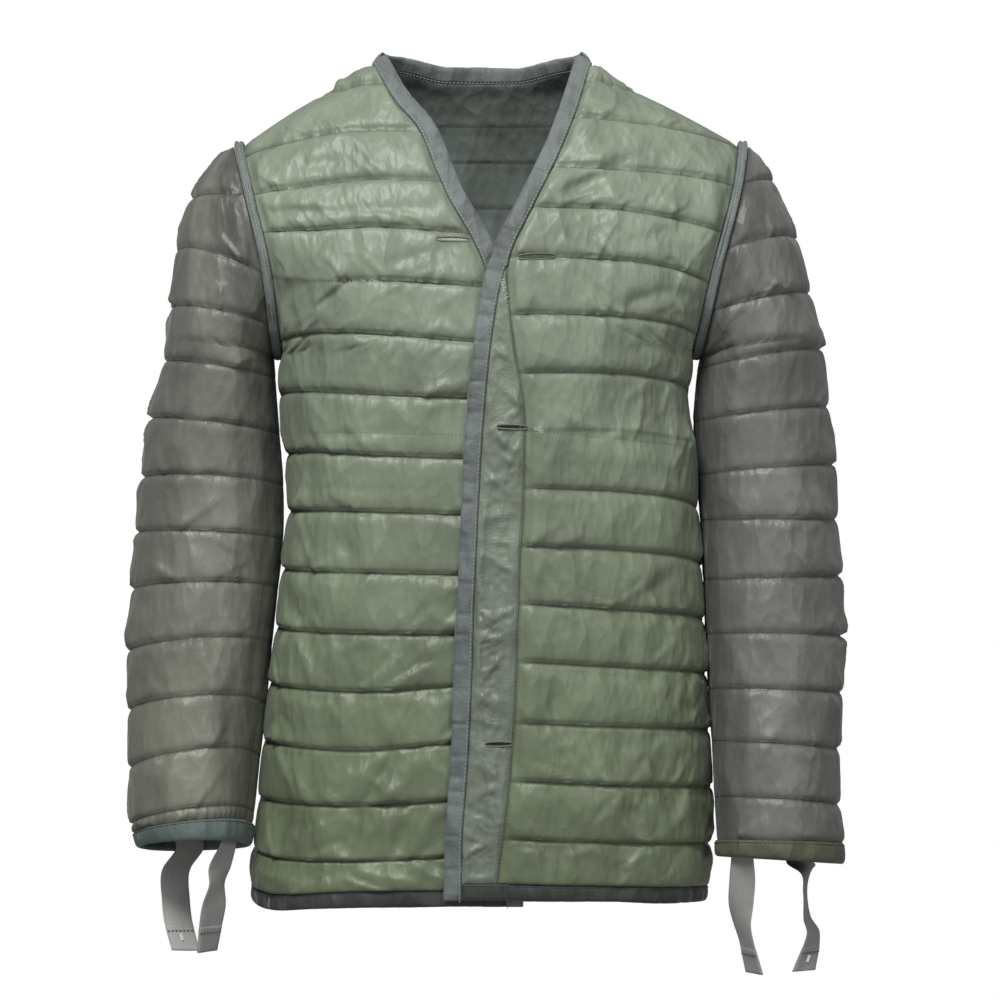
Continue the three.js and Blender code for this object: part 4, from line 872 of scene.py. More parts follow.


# Each sleeve's colour has a painted highlight band along its front and a darker band of painted shade on its
# inner front, beside the body.
SLEEVE_CLOTH = {
    "right": nylon("grey-olive nylon, right sleeve", (0.108, 0.112, 0.095), (0.132, 0.135, 0.106),
                   -0.3, -0.65, roughness=0.43, patch=0.22, creased=1.5, puckered=1.5,
                   bands=((0.18, 0.3, 1.32), (-0.05, 0.12, 0.72))),
    "left": nylon("grey nylon, left sleeve", (0.118, 0.122, 0.11), (0.106, 0.109, 0.097), -0.1, -0.7,
                  roughness=0.43, patch=0.22, creased=1.5, puckered=1.5,
                  bands=((0.17, 0.29, 1.22), (-0.05, 0.09, 0.8))),
}
for side_name, sleeve in SLEEVES.items():
    lines = sleeve["lines"]
    surface, axis, underarm = sleeve_surface(side_name, lines)
    ends = sleeve["quilting_ends"]
    v_rows = np.unique(np.append(np.arange(0, int(ends) * ROWS_PER_CHANNEL + 1) / ROWS_PER_CHANNEL,
                                 np.linspace(int(ends), ends, 8)))
    u, v = np.meshgrid(np.linspace(0, 1, SLEEVE_COLUMNS + 1), v_rows)
    base = surface(u, v)
    outward = (base - axis(v)) * (1, 1, 0)
    out = normals_of(base, outward)
    seam_z = base[..., 2].copy()
    seam_z[v < underarm] = ARMHOLE_MIDDLE
    seam_z[v >= underarm] = -1
    flatten_side(out, 0, seam_z)
    flatten_side(out, -1, seam_z)
    beside_body = mix(UNDERARM_PUFF_SHARE, 1, smooth(np.minimum(u, 1 - u), 0.08, 0.2))
    share = np.where(v < underarm, 1, beside_body) * armhole_fade(side_name, base)
    share = share * smooth(ends - v, 0, 0.2)
    outer, inner = quilt(u, v, base, out, lines, SLEEVE_PUFF, share, 0 * u, sleeve["seed"], (0.4, 0.05))
    eased = np.clip((v - int(ends)) / max(ends - int(ends), 1e-6), 0, 1)
    waves = np.sin(2 * np.pi * CUFF_GATHERS * u + 2 * np.sin(2 * np.pi * 7 * u))
    gathered = CUFF_GATHER_HEIGHT * waves * np.sin(np.pi * eased) * np.clip(share * 4, 0, 1)
    outer += out * gathered[..., None]
    sleeve.update(u=u, v=v, base=base, out=out, outer=outer, surface=surface, axis=axis)
    piece = cloth_object(f"quilting_sleeve_{side_name}", outer, inner, u, v, SLEEVE_CLOTH[side_name])
    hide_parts(f"sleeve_{side_name}")
    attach(piece, "root")

# The button strip on the left front: one layer of plain nylon, unquilted and crumpled, between the edge
# tape and a double row of stitching. Two buttonholes are worked through it.
STRIP_WALL = 0.0012
STRIP_COLUMNS = 24
STRIP_GAP = 0.0006
STRIP_LIFT = 0.0012
STRIP_SLACK_ACROSS = 0.035
STRIP_SLACK_ALONG = 0.03
STRIP_ROUNDS = 90
STRIP_PUSH = 0.00001
STRIP_FOLD_GAIN = 1.3
STRIP_FOLDS = table("x1 z1 x2 z2 rise half", [
    (0.0022, -0.2833, 0.0299, -0.3084, 0.0022, 0.0034),
    (0.0091, -0.2583, 0.0186, -0.2712, 0.0016, 0.003),
    (-0.0004, -0.3352, 0.0091, -0.3275, 0.0016, 0.003),
    (0.01, -0.3335, 0.0195, -0.3473, 0.0016, 0.003),
    (0.0299, -0.3413, 0.0178, -0.3595, 0.0016, 0.003),
    (-0.0056, -0.3768, 0.0117, -0.3724, 0.0016, 0.003),
    (-0.0013, -0.3672, 0.0152, -0.3802, 0.0016, 0.0032),
    (-0.0056, -0.4096, 0.0247, -0.401, 0.0014, 0.0034),
    (-0.0073, -0.4252, 0.0247, -0.4278, 0.0016, 0.0032),
    (-0.0065, -0.4364, 0.0247, -0.4529, 0.0018, 0.0036),
    (-0.0056, -0.4468, 0.0065, -0.4728, -0.002, 0.003),
    (-0.0056, -0.4858, 0.0091, -0.4953, 0.0015, 0.003),
    (-0.0091, -0.497, 0.0221, -0.4866, 0.0018, 0.0034),
    (-0.0082, -0.5082, 0.0134, -0.5117, 0.0014, 0.003),
    (-0.0013, -0.542, 0.016, -0.5221, 0.0018, 0.003),
    (-0.0134, -0.5558, 0.0091, -0.5688, 0.0018, 0.0034),
    (-0.0143, -0.5783, 0.0186, -0.5878, 0.0018, 0.0032),
    (-0.0168, -0.6146, 0.0152, -0.6328, 0.0016, 0.0036),
    (-0.0186, -0.6501, 0.0143, -0.6363, 0.0018, 0.0032),
    (-0.0212, -0.6544, 0.0065, -0.6674, -0.0016, 0.003),
    (-0.022, -0.6761, -0.0047, -0.6856, 0.0014, 0.003),
    (-0.0203, -0.6977, 0.0082, -0.6847, 0.0018, 0.0034),
])


def strip_points(u, v):
    z = line_heights(LEFT_FRONT_LINES, 0 * u, v)
    left = SIDES["left"]
    x = mix(left["tape"](z), left["quilting"](z) - STRIP_GAP, u)
    return body_point("left", "front", angle_at("left", "front", x, z), z)


fine = np.linspace(0, len(LEFT_FRONT_LINES) - 1, 4001)
strip_top = float(np.interp(STRIP_TOP, line_heights(LEFT_FRONT_LINES, 0 * fine, fine), fine))
u, v = np.meshgrid(np.linspace(0, 1, STRIP_COLUMNS + 1), np.linspace(0, strip_top, 250))
base = strip_points(u, v)
out = normals_of(base, base * 0 + (0, -1, 0))
base += out * overlap_shift("left", base)[..., None]
strip = {"u": u, "v": v, "base": base, "out": out}
loose = np.minimum(smooth(np.minimum(u, 1 - u), 0.0, 0.2), smooth(np.minimum(v, strip_top - v), 0, 0.15))
loose[loose < 0.01] = 0
creased = settle(base + out * (STRIP_LIFT * loose)[..., None], loose, STRIP_SLACK_ACROSS * loose,
                 STRIP_SLACK_ALONG * loose, STRIP_ROUNDS, STRIP_PUSH, 8)
moved = np.clip(np.sum((creased - base) * out, axis=-1, keepdims=True), -0.0012, 0.003)
outer = base + out * (moved + (STRIP_FOLD_GAIN * fold_rise(STRIP_FOLDS, base) * np.sqrt(loose))[..., None])
STRIP_GREY = nylon("grey-green nylon, strip", (0.166, 0.197, 0.15), (0.14, 0.164, 0.13), -0.2, -0.7,
                   patch=0.2, creased=2.4)
piece = cloth_object("button_strip", outer, outer - out * STRIP_WALL, u, v, STRIP_GREY)
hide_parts("facing_strip")
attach(piece, "root")
strip["outer"] = outer

# The edge tape: woven tape folded over the raw edge and stitched down, up one front, around the neck and
# down the other. Small tucks form across it where it was eased around the edge.
TAPE_WALL = 0.0006
TAPE_SPACING = 0.002
TUCK = 0.0011
SHORT_TUCKS = 0.009
LONG_TUCKS = 0.021
SWAY = 0.0007
SWAY_WAVE = 0.045
TAPE_CREASE = 0.0015
TAPE_CREASE_HALF = 0.0018
TAPE_CREASES_APART = (0.012, 0.03)
MOST_TAPE_CREASES = 90
EDGE_PROFILE = [(-0.0012, 0.0018), (0.0005, 0.0025), (0.003, 0.0029), (0.0065, 0.0031), (0.010, 0.0028),
                (0.0127, 0.0019), (0.0141, 0.0006), (0.0141, -0.0008), (0.0127, -0.0019), (0.010, -0.0025),
                (0.0065, -0.0027), (0.003, -0.0026), (0.0006, -0.0024)]


def resampled(line, spacing):
    """Even spots along a line, and where the line's own points lie on it."""
    step = np.linalg.norm(np.diff(line, axis=0), axis=-1)
    along = np.concatenate([[0], np.cumsum(step)])
    kept = np.concatenate([[True], step > 1e-6])
    count = max(2, int(along[-1] / spacing))
    spots = np.linspace(0, along[-1], count + 1)
    return spots, along[kept], kept


def ripple(length, wave, seed):
    """Smooth random heights from -1 to 1, about one wave long, at even steps of the tape's spacing."""
    random = np.random.default_rng(seed)
    knots = np.arange(0, length * TAPE_SPACING + 3 * wave, wave)
    place = np.arange(length) * TAPE_SPACING
    heights = random.uniform(-1, 1, len(knots))
    i = np.clip((place / wave).astype(int), 0, len(knots) - 2)
    t = place / wave - i
    t = t * t * (3 - 2 * t)
    return heights[i] * (1 - t) + heights[i + 1] * t


def tape_grid(line, out, towards, profile, seed, lean=0.0):
    """The points of a tape folded over an edge: its profile set along the line, with tucks and creases."""
    along = np.gradient(line, axis=0)
    along /= np.linalg.norm(along, axis=-1, keepdims=True)
    across = np.cross(out, along)
    across /= np.linalg.norm(across, axis=-1, keepdims=True)
    across *= np.where(np.sum(across * towards, axis=-1, keepdims=True) < 0, -1, 1)
    across = across + np.array([0, 0, lean])
    across -= along * np.sum(across * along, axis=-1, keepdims=True)
    across /= np.linalg.norm(across, axis=-1, keepdims=True)
    up = np.cross(along, across)
    up *= np.where(np.sum(up * out, axis=-1, keepdims=True) < 0, -1, 1)
    a = np.array([spot for spot, _ in profile])
    h = np.array([height for _, height in profile])
    short, long = ripple(len(line), SHORT_TUCKS, seed), ripple(len(line), LONG_TUCKS, seed + 1)
    tuck = TUCK * (0.6 * short + 0.4 * long)
    place = np.arange(len(line)) * TAPE_SPACING
    creases = np.cumsum(np.random.default_rng(seed + 3).uniform(*TAPE_CREASES_APART, MOST_TAPE_CREASES))
    tuck -= TAPE_CREASE * np.exp(-((place[:, None] - creases) / TAPE_CREASE_HALF) ** 2).sum(axis=1)
    sway = SWAY * ripple(len(line), SWAY_WAVE, seed + 2)
    body = np.sin(np.pi * np.linspace(0, 1, len(profile)))
    from_end = np.minimum(np.arange(len(line)), np.arange(len(line))[::-1]) * TAPE_SPACING
    open_share = mix(0.1, 1, smooth(from_end, 0, 0.006))[:, None]
    width = a[None, :] + sway[:, None] * (a[None, :] > 0.006)
    height = h[None, :] + tuck[:, None] * body[None, :] * np.where(h[None, :] > 0, 1, 0.3)
    height *= open_share
    width = width[..., None] + SEAM_GAP
    points = line[:, None] + across[:, None] * width + up[:, None] * height[..., None]
    middle = line[:, None] + across[:, None] * 0.007
    return points, points - middle, up


def tape_object(name, line, out, towards, profile, material, seed, lean=0.0):
    points, outward, up = tape_grid(line, out, towards, profile, seed, lean)
    shell = normals_of(points, outward)
    u, v = np.meshgrid(np.linspace(0, 1, points.shape[1]), np.arange(len(line)) * TAPE_SPACING)
    piece = cloth_object(name, points, points - shell * TAPE_WALL, u, v, material)
    return piece, points, up


def declare_tape(piece, node):
    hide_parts(node)
    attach(piece, "root")


TAPE_BLUE = nylon("grey-green tape", (0.132, 0.152, 0.144), (0.115, 0.137, 0.137), -0.05, -0.7,
                  roughness=0.62, sheen=0.2, patch=0.2, bump=1.0, creased=2.6)
HEM_DEPTH = 0.014
# Rows of stitches that are sewn once every piece is in place: a name, lines of points and a kind of thread.
# They lie a little above the cloth.
STITCHED = []
STITCH_LIFT = 0.0002


def front_edge(side_name):
    """The line of a front's edge from below the hem to the neck point, with its outward directions."""
    front = FRONTS[side_name]
    line, out = front["base"][:, 0], front["out"][:, 0]
    if side_name == "left":
        above = front["v"][:, 0] > strip_top
        line = np.concatenate([strip["base"][:, 0], line[above]])
        out = np.concatenate([strip["out"][:, 0], out[above]])
    line = np.concatenate([line[:1] - (0, 0, HEM_DEPTH), line])
    out = np.concatenate([out[:1], out])
    neck_column = 0 if side_name == "right" else -1
    neck = back["base"][-1, neck_column].copy()
    neck[1] = center_y(NECK) - SEAM_GAP / 2
    return np.concatenate([line, [neck]]), np.concatenate([out, [back["out"][-1, neck_column]]])


def evenly(line, out):
    """A line and its outward directions, at even steps of the tape's spacing."""
    spots, along, kept = resampled(line, TAPE_SPACING)
    even = []
    for grid in (line, out):
        even.append(np.stack([np.interp(spots, along, grid[kept, k]) for k in range(3)], axis=-1))
    even[1] /= np.linalg.norm(even[1], axis=-1, keepdims=True)
    return even


for seed, side_name in enumerate(SIDES):
    line, out = evenly(*front_edge(side_name))
    towards = np.array([-SIDES[side_name]["sign"], 0, 0.2])
    piece, points, up = tape_object(f"edge_tape_{side_name}", line, out, towards, EDGE_PROFILE, TAPE_BLUE,
                                    20 + 5 * seed)
    declare_tape(piece, f"edge_binding_{side_name}")
    STITCHED.append((f"edge_tape_{side_name}_stitches", [points[:, 1] + up * STITCH_LIFT], "tape"))
line, out = evenly(back["base"][-1], back["out"][-1])
piece, points, up = tape_object("edge_tape_neck", line, out, np.array([0, 0, 1]), EDGE_PROFILE, TAPE_BLUE,
                                33, lean=0.6)
declare_tape(piece, "edge_binding_neck")
neck_rows = [points[:, 1] + up * STITCH_LIFT, points[:, -1] - up * STITCH_LIFT]
STITCHED.append(("edge_tape_neck_stitches", neck_rows, "tape"))

# The hem tape: the same folded tape, darker, along the bottom of both fronts and the back.
HEM_PROFILE = [(a * 13 / 14, h) for a, h in EDGE_PROFILE]
HEM_TAPE = nylon("dark hem tape", (0.042, 0.046, 0.044), (0.034, 0.037, 0.033), -0.6, -0.76,
                 roughness=0.65, sheen=0.2, patch=0.22, bump=1.0, creased=2.6)
hems = {name: (FRONTS[name]["base"][0], FRONTS[name]["out"][0]) for name in FRONTS}
beside_edge = strip["base"][0] + (SEAM_GAP, 0, 0)
hems["left"] = (np.concatenate([beside_edge, hems["left"][0]]),
                np.concatenate([strip["out"][0], hems["left"][1]]))
hems["back"] = (back["base"][0], back["out"][0])
for seed, (name, (line, out)) in enumerate(hems.items()):
    line, out = evenly(line, out)
    piece, points, up = tape_object(f"hem_tape_{name}", line, out, np.array([0, 0, -1]), HEM_PROFILE,
                                    HEM_TAPE, 40 + 5 * seed)
    declare_tape(piece, f"hem_binding_{name}")
    STITCHED.append((f"hem_tape_{name}_stitches", [points[:, 1] + up * STITCH_LIFT], "hem"))

# The armhole tapes: the seam allowances of body and sleeve, bound together and pressed apart so that they
# stand out as a narrow double ridge around each armhole.
ARMHOLE_PROFILE = [(-0.004, -0.0015), (-0.0041, 0.5), (-0.0036, 0.85), (-0.002, 1.0), (-0.0006, 0.86),
                   (0, 0.72), (0.0006, 0.86), (0.002, 1.0), (0.0036, 0.85), (0.0041, 0.5), (0.004, -0.0015)]
ARMHOLE_STANDS = 0.006
ARMHOLE_STANDS_BELOW = 0.003
ARMHOLE_STEPS = 181
ARMHOLE_RADIUS = 0.087
ARMHOLE_TUCKS = 0.012
ARMHOLE_TUCK_SHARE = 0.08
for seed, (side_name, side) in enumerate(SIDES.items()):
    angle = np.linspace(0, 2 * np.pi, ARMHOLE_STEPS)
    ring = armhole_point(side_name, angle)
    out = np.stack([0 * angle, -np.sin(angle) * ARMHOLE_HALF_HEIGHT,
                    np.cos(angle) * ARMHOLE_HALF_DEPTH], axis=-1)
    out /= np.linalg.norm(out, axis=-1, keepdims=True)
    stands = mix(ARMHOLE_STANDS_BELOW, ARMHOLE_STANDS, (1 + np.cos(angle)) / 2)
    wave = ripple(ARMHOLE_STEPS, ARMHOLE_TUCKS, 60 + seed)
    wave[-1] = wave[0]
    rows = []
    for across, share in ARMHOLE_PROFILE:
        tucked = share * stands * (1 + ARMHOLE_TUCK_SHARE * wave)
        height = np.full(ARMHOLE_STEPS, share) if share < 0 else tucked
        rows.append(ring + np.array([side["sign"], 0, 0]) * across + out * height[:, None])
    points = np.stack(rows, axis=1)
    shell = normals_of(points, points - ring[:, None] + out[:, None] * 0.004)
    joined = shell[0] + shell[-1]
    shell[-1] = shell[0] = joined / np.linalg.norm(joined, axis=-1, keepdims=True)
    u, v = np.meshgrid(np.linspace(0, 1, points.shape[1]), angle * ARMHOLE_RADIUS)
    piece = cloth_object(f"armhole_tape_{side_name}", points, points - shell * TAPE_WALL, u, v, TAPE_BLUE)
    declare_tape(piece, f"armhole_binding_{side_name}")
    STITCHED.append((f"armhole_tape_{side_name}_stitches", [points[:, 5] + out * STITCH_LIFT], "tape"))

# The cuff tapes: the quilting's lower edge is bound with a folded tape, bluish on the right sleeve and
# olive on the left.
CUFF_TAPES = {
    "right": nylon("blue-green cuff tape", (0.088, 0.121, 0.108), (0.085, 0.11, 0.105), -0.6, -0.76,
                   roughness=0.6, patch=0.24, bump=1.0, creased=2.2),
    "left": nylon("olive cuff tape", (0.085, 0.09, 0.055), (0.075, 0.08, 0.05), -0.6, -0.76,
                  roughness=0.6, patch=0.24, bump=1.0, creased=2.2),
}
CUFF_PROFILE = [(-0.04, 0.0016), (0.05, 0.0026), (0.2, 0.003), (0.5, 0.0032), (0.8, 0.003), (0.95, 0.0018),
                (1.0, 0.0004), (0.98, -0.001), (0.85, -0.002), (0.5, -0.0024), (0.2, -0.0024),
                (0.02, -0.0023)]
CUFF_STEPS = 140
CUFF_TUCK = 0.0005
CUFF_TUCKS = 0.012
for seed, (side_name, sleeve) in enumerate(SLEEVES.items()):
    u = np.linspace(0, 1, CUFF_STEPS)
    tuck = CUFF_TUCK * ripple(CUFF_STEPS, CUFF_TUCKS, 70 + seed)
    tuck[-1] = tuck[0]
    rows = []
    for share, height in CUFF_PROFILE:
        v = mix(sleeve["quilting_ends"], sleeve["tape_ends"], share)
        grid_u, grid_v = np.meshgrid(u, np.array([v - 0.02, v, v + 0.02]))
        ring = sleeve["surface"](grid_u, grid_v)
        out = normals_of(ring, (ring - sleeve["axis"](grid_v)) * (1, 1, 0))
        tucked = height + tuck * (1 if height > 0 else 0.2)
        rows.append(ring[1] + out[1] * tucked[:, None] - (0, 0, SEAM_GAP))
    points = np.stack(rows, axis=0)
    middle = points.mean(axis=0, keepdims=True)
    shell = normals_of(points, points - middle)
    grid_u, grid_v = np.meshgrid(u, np.linspace(0, 1, len(CUFF_PROFILE)))
    piece = cloth_object(f"cuff_tape_{side_name}", points, points - shell * TAPE_WALL, grid_u, grid_v,
                         CUFF_TAPES[side_name])
    declare_tape(piece, f"cuff_binding_{side_name}")
    STITCHED.append((f"cuff_tape_{side_name}_stitches", [points[1] + shell[1] * STITCH_LIFT], "hem"))

# Four tabs of cotton webbing, sewn inside the cuffs to button the liner into a jacket. Each hangs loose, a
# little twisted, and its end is folded under.
WEBBING_WIDTH = 0.025
WEBBING_WALL = 0.0016
FOLDED_WALL = 0.0036
FOLDED_LENGTH = 0.022
CURL = 0.0012
CURL_WAVE = 0.013
# Each tab: the place around the cuff where it is sewn, how far inside, and the spots that it hangs through.
HANG = "x y z turn"
TABS = [
    {"name": "tab_right_outer", "sleeve": "right", "angle": 263, "clear": 0.0056, "hang": table(HANG, [
        (-0.278, -0.024, -0.722, 4), (-0.277, -0.032, -0.748, 2), (-0.274, -0.04, -0.766, 8),
        (-0.267, -0.047, -0.79, -4)])},
    {"name": "tab_right_inner", "sleeve": "right", "angle": 28, "clear": 0.0053, "hang": table(HANG, [
        (-0.234, -0.078, -0.712, 44), (-0.237, -0.076, -0.728, 62), (-0.24, -0.074, -0.748, 38),
        (-0.243, -0.072, -0.766, 42), (-0.246, -0.07, -0.788, 52)])},
    {"name": "tab_left_inner", "sleeve": "left", "angle": 42, "clear": 0.0056, "hang": table(HANG, [
        (0.224, -0.084, -0.724, -30), (0.223, -0.082, -0.744, -34), (0.224, -0.08, -0.762, -56),
        (0.228, -0.079, -0.778, -63), (0.235, -0.079, -0.806, -58)])},
    {"name": "tab_left_outer", "sleeve": "left", "angle": 246, "clear": 0.0051, "hang": table(HANG, [
        (0.285, -0.024, -0.722, 60), (0.284, -0.028, -0.74, 78), (0.285, -0.034, -0.762, 72),
        (0.29, -0.04, -0.776, 58), (0.281, -0.048, -0.808, 32)])},
]


def webbing_material(name, tone):
    """Grey cotton webbing with fine lengthwise ribs, from its own UV map in metres."""
    colour = (tone, tone * 0.98, tone * 0.945)
    material = nylon(name, colour, colour, -0.7, -0.8, roughness=0.85, sheen=0.1, patch=0.15, bump=0.4)
    tree = material.node_tree
    cloth = node(tree, "ShaderNodeUVMap", {}, uv_map="cloth")
    ribs = node(tree, "ShaderNodeTexWave", {"Scale": 190, "Distortion": 0.6, "Vector": cloth.outputs["UV"]})
    woven = tree.nodes["Bump"]
    ribbed = node(tree, "ShaderNodeBump", {"Strength": 0.5, "Distance": 0.0006,
                                           "Height": ribs.outputs["Fac"], "Normal": woven.outputs["Normal"]})
    feed(tree, tree.nodes["Principled BSDF"], {"Normal": ribbed.outputs["Normal"]})
    return material


# Painted light: the right outer tab hangs in the cuff's shadow, so its webbing is made lighter than the
# others to offset that shadow.
WEBBING = {"shaded": webbing_material("grey cotton webbing, shaded tab", 0.44),
           "plain": webbing_material("grey cotton webbing", 0.27)}
for tab in TABS:
    sleeve = SLEEVES[tab["sleeve"]]
    spots = []
    for share in (0.35, 1):
        v = mix(sleeve["quilting_ends"], sleeve["tape_ends"], share)
        grid_u, grid_v = np.meshgrid(tab["angle"] / 360 + np.array([-0.01, 0, 0.01]),
                                     np.array([v - 0.02, v, v + 0.02]))
        ring = sleeve["surface"](grid_u, grid_v)
        out = normals_of(ring, (ring - sleeve["axis"](grid_v)) * (1, 1, 0))[1, 1]
        across = ring[1, 2] - ring[1, 1]
        across[2] = 0
        across *= np.sign(across[0]) / np.linalg.norm(across)
        spots.append((ring[1, 1] - out * tab["clear"], across))
    for row in tab["hang"]:
        turn = np.radians(row["turn"])
        spots.append((np.array([row["x"], row["y"], row["z"]]), np.array([np.cos(turn), np.sin(turn), 0])))
    far = np.concatenate([[0], np.cumsum([np.linalg.norm(b[0] - a[0]) for a, b in zip(spots, spots[1:])])])
    rows = [dict(s=d, x=p[0], y=p[1], z=p[2], turn=np.arctan2(c[1], c[0])) for d, (p, c) in zip(far, spots)]
    along = np.linspace(0, far[-1], 60)
    fold_at = far[-1] - FOLDED_LENGTH
    along = np.sort(np.append(along, [fold_at - 0.0004, fold_at]))
    line = np.stack([curve(rows, "s", of)(along) for of in "xyz"], axis=-1)
    turn = curve(rows, "s", "turn")(along)
    across = np.stack([np.cos(turn), np.sin(turn), 0 * turn], axis=-1)
    down = np.gradient(line, axis=0)
    out = np.cross(across, down)
    out /= np.linalg.norm(out, axis=-1, keepdims=True)
    thick = np.where(along >= fold_at, FOLDED_WALL, WEBBING_WALL)
    section = np.linspace(-0.5, 0.5, 13)
    curl = CURL * np.sin(along / CURL_WAVE)[:, None] * np.cos(np.pi * section)[None, :]
    face = line[:, None] + across[:, None] * (section * WEBBING_WIDTH)[None, :, None]
    rounded = np.sqrt(np.maximum(0.1, 1 - (2 * section) ** 6))[None, :]
    front_face = face + out[:, None] * (curl + rounded * thick[:, None] / 2)[..., None]
    back_face = face + out[:, None] * (curl - rounded * thick[:, None] / 2)[..., None]
    u, v = np.meshgrid(section * WEBBING_WIDTH, along)
    # The right outer tab takes the webbing painted lighter against its shadow.
    cotton = WEBBING["shaded" if tab["name"] == "tab_right_outer" else "plain"]
    piece = cloth_object(f"webbing_{tab['name']}", front_face, back_face, u, v, cotton)
    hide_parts(tab["name"])
    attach(piece, "root")
    cross_row = int(np.searchsorted(along, fold_at + 0.004))
    surface_row = (front_face if out[cross_row, 1] < 0 else back_face)[cross_row]
    lift = out[cross_row] * (1 if out[cross_row, 1] < 0 else -1) * 0.0003
    STITCHED.append((f"webbing_{tab['name']}_stitches", [surface_row[1:-1] + lift], "webbing"))
    if tab["name"].endswith("outer"):
        slit_row = int(np.searchsorted(along, fold_at + 0.009))
        middle = (front_face if out[slit_row, 1] < 0 else back_face)[slit_row:slit_row + 6, 6]
        STITCHED.append((f"webbing_{tab['name']}_slit", [middle], "slit"))

# Stitches: polyester thread, in rows along every stitching line of the quilting and along every tape.
# A front's stitches start a few columns of points in, clear of its edge tape.
FIRST_SEWN_COLUMN = 5
THREADS = {
    "quilting": {"pitch": 0.0036, "length": 0.0027, "thick": 0.00035, "colour": (0.07, 0.09, 0.055)},
    "sleeve": {"pitch": 0.0036, "length": 0.0027, "thick": 0.00035, "colour": (0.06, 0.06, 0.055)},
    "strip": {"pitch": 0.0034, "length": 0.0026, "thick": 0.0005, "colour": (0.15, 0.175, 0.145)},
    "tape": {"pitch": 0.0036, "length": 0.0024, "thick": 0.0006, "colour": (0.25, 0.275, 0.255)},
    "hem": {"pitch": 0.0036, "length": 0.0027, "thick": 0.0006, "colour": (0.05, 0.055, 0.055)},
    "webbing": {"pitch": 0.003, "length": 0.0022, "thick": 0.0008, "colour": (0.08, 0.08, 0.07)},
    "holes": {"pitch": 0.0032, "length": 0.0007, "thick": 0.0004, "colour": (0.07, 0.09, 0.055)},
    "frayed": {"pitch": 0.05, "length": 0.0034, "thick": 0.0004, "colour": (0.45, 0.47, 0.42)},
    "slit": {"pitch": 0.05, "length": 0.0065, "thick": 0.0022, "colour": (0.8, 0.8, 0.8)},
}


def stitching_tree():
    """Box stitches along the edges of a mesh, with the sockets that set their sizes."""
    tree = bpy.data.node_groups.new("row of stitches", "GeometryNodeTree")
    tree.interface.new_socket("Geometry", in_out="INPUT", socket_type="NodeSocketGeometry")
    sockets = {label: tree.interface.new_socket(label, in_out="INPUT", socket_type=kind).identifier
               for label, kind in (("Pitch", "NodeSocketFloat"), ("Stitch length", "NodeSocketFloat"),
                                   ("Thickness", "NodeSocketFloat"), ("Thread", "NodeSocketMaterial"))}
    tree.interface.new_socket("Geometry", in_out="OUTPUT", socket_type="NodeSocketGeometry")
    asked = node(tree, "NodeGroupInput", {}).outputs
    path = node(tree, "GeometryNodeMeshToCurve", {"Mesh": asked["Geometry"]})
    spots = node(tree, "GeometryNodeCurveToPoints", {
        "Curve": path.outputs["Curve"], "Length": asked["Pitch"]}, mode="LENGTH").outputs
    size = node(tree, "ShaderNodeCombineXYZ", {"X": asked["Thickness"], "Y": asked["Thickness"],
                                               "Z": asked["Stitch length"]})
    stitch = node(tree, "GeometryNodeMeshCube", {"Size": size.outputs["Vector"]})
    placed = node(tree, "GeometryNodeInstanceOnPoints", {
        "Points": spots["Points"], "Rotation": spots["Rotation"], "Instance": stitch.outputs["Mesh"]})
    real = node(tree, "GeometryNodeRealizeInstances", {"Geometry": placed.outputs["Instances"]})
    threaded = node(tree, "GeometryNodeSetMaterial", {"Geometry": real.outputs["Geometry"],
                                                      "Material": asked["Thread"]})
    node(tree, "NodeGroupOutput", {"Geometry": threaded.outputs["Geometry"]})
    return tree, sockets


STITCHING, STITCH_SOCKETS = stitching_tree()


def sew(name, lines, kind):
    """A row of stitches along each line of points, as one plain mesh."""
    points, edges = [], []
    for line in lines:
        first = len(points)
        points += line.tolist()
        edges += [(first + i, first + i + 1) for i in range(len(line) - 1)]
    path = bpy.data.meshes.new(name)
    path.from_pydata(points, edges, [])
    row = bpy.data.objects.new(name, path)
    scene.collection.objects.link(row)
    thread = THREADS[kind]
    if "material" not in thread:
        thread["material"] = new_material(f"{kind} thread", {"Base Color": (*thread["colour"], 1),
                                                             "Roughness": 0.6})[0]
    modifier = row.modifiers.new("stitches", "NODES")
    modifier.node_group = STITCHING
    modifier[STITCH_SOCKETS["Pitch"]] = thread["pitch"]
    modifier[STITCH_SOCKETS["Stitch length"]] = thread["length"]
    modifier[STITCH_SOCKETS["Thickness"]] = thread["thick"]
    modifier[STITCH_SOCKETS["Thread"]] = thread["material"]
    bpy.context.view_layer.update()
    evaluated = row.evaluated_get(bpy.context.evaluated_depsgraph_get())
    sewn = bpy.data.meshes.new_from_object(evaluated)
    row.modifiers.clear()
    row.data = sewn
    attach(row, "root")


QUILTED = {"front_right": (FRONTS["right"], "quilting"), "front_left": (FRONTS["left"], "quilting"),
           "back": (back, "quilting"), "sleeve_right": (SLEEVES["right"], "sleeve"),
           "sleeve_left": (SLEEVES["left"], "sleeve")}
for name, (cloth, kind) in QUILTED.items():
    sewn_lines = []
    for i, row in enumerate(cloth["lines"]):
        at = int(np.argmin(np.abs(cloth["v"][:, 0] - i)))
        inside = 0 < at < len(cloth["v"]) - 1
        if inside and abs(cloth["v"][at, 0] - i) < 1e-6 and row.get("sewn", True):
            line = cloth["outer"][at] + cloth["out"][at] * STITCH_LIFT
            if name.startswith("front"):
                line = line[FIRST_SEWN_COLUMN:]
            if name == "front_right" and i == LOOSE_LINE:
                line = line[line[:, 0] > -LOOSE_FROM]
            sewn_lines.append(line)
    sew(f"quilting_{name}_stitches", sewn_lines, kind)
for name, lines, kind in STITCHED:
    sew(name, lines, kind)
double = [strip["outer"][:, column] + strip["out"][:, column] * 2 * STITCH_LIFT for column in (-2, -1)]
sew("button_strip_stitches", double, "strip")
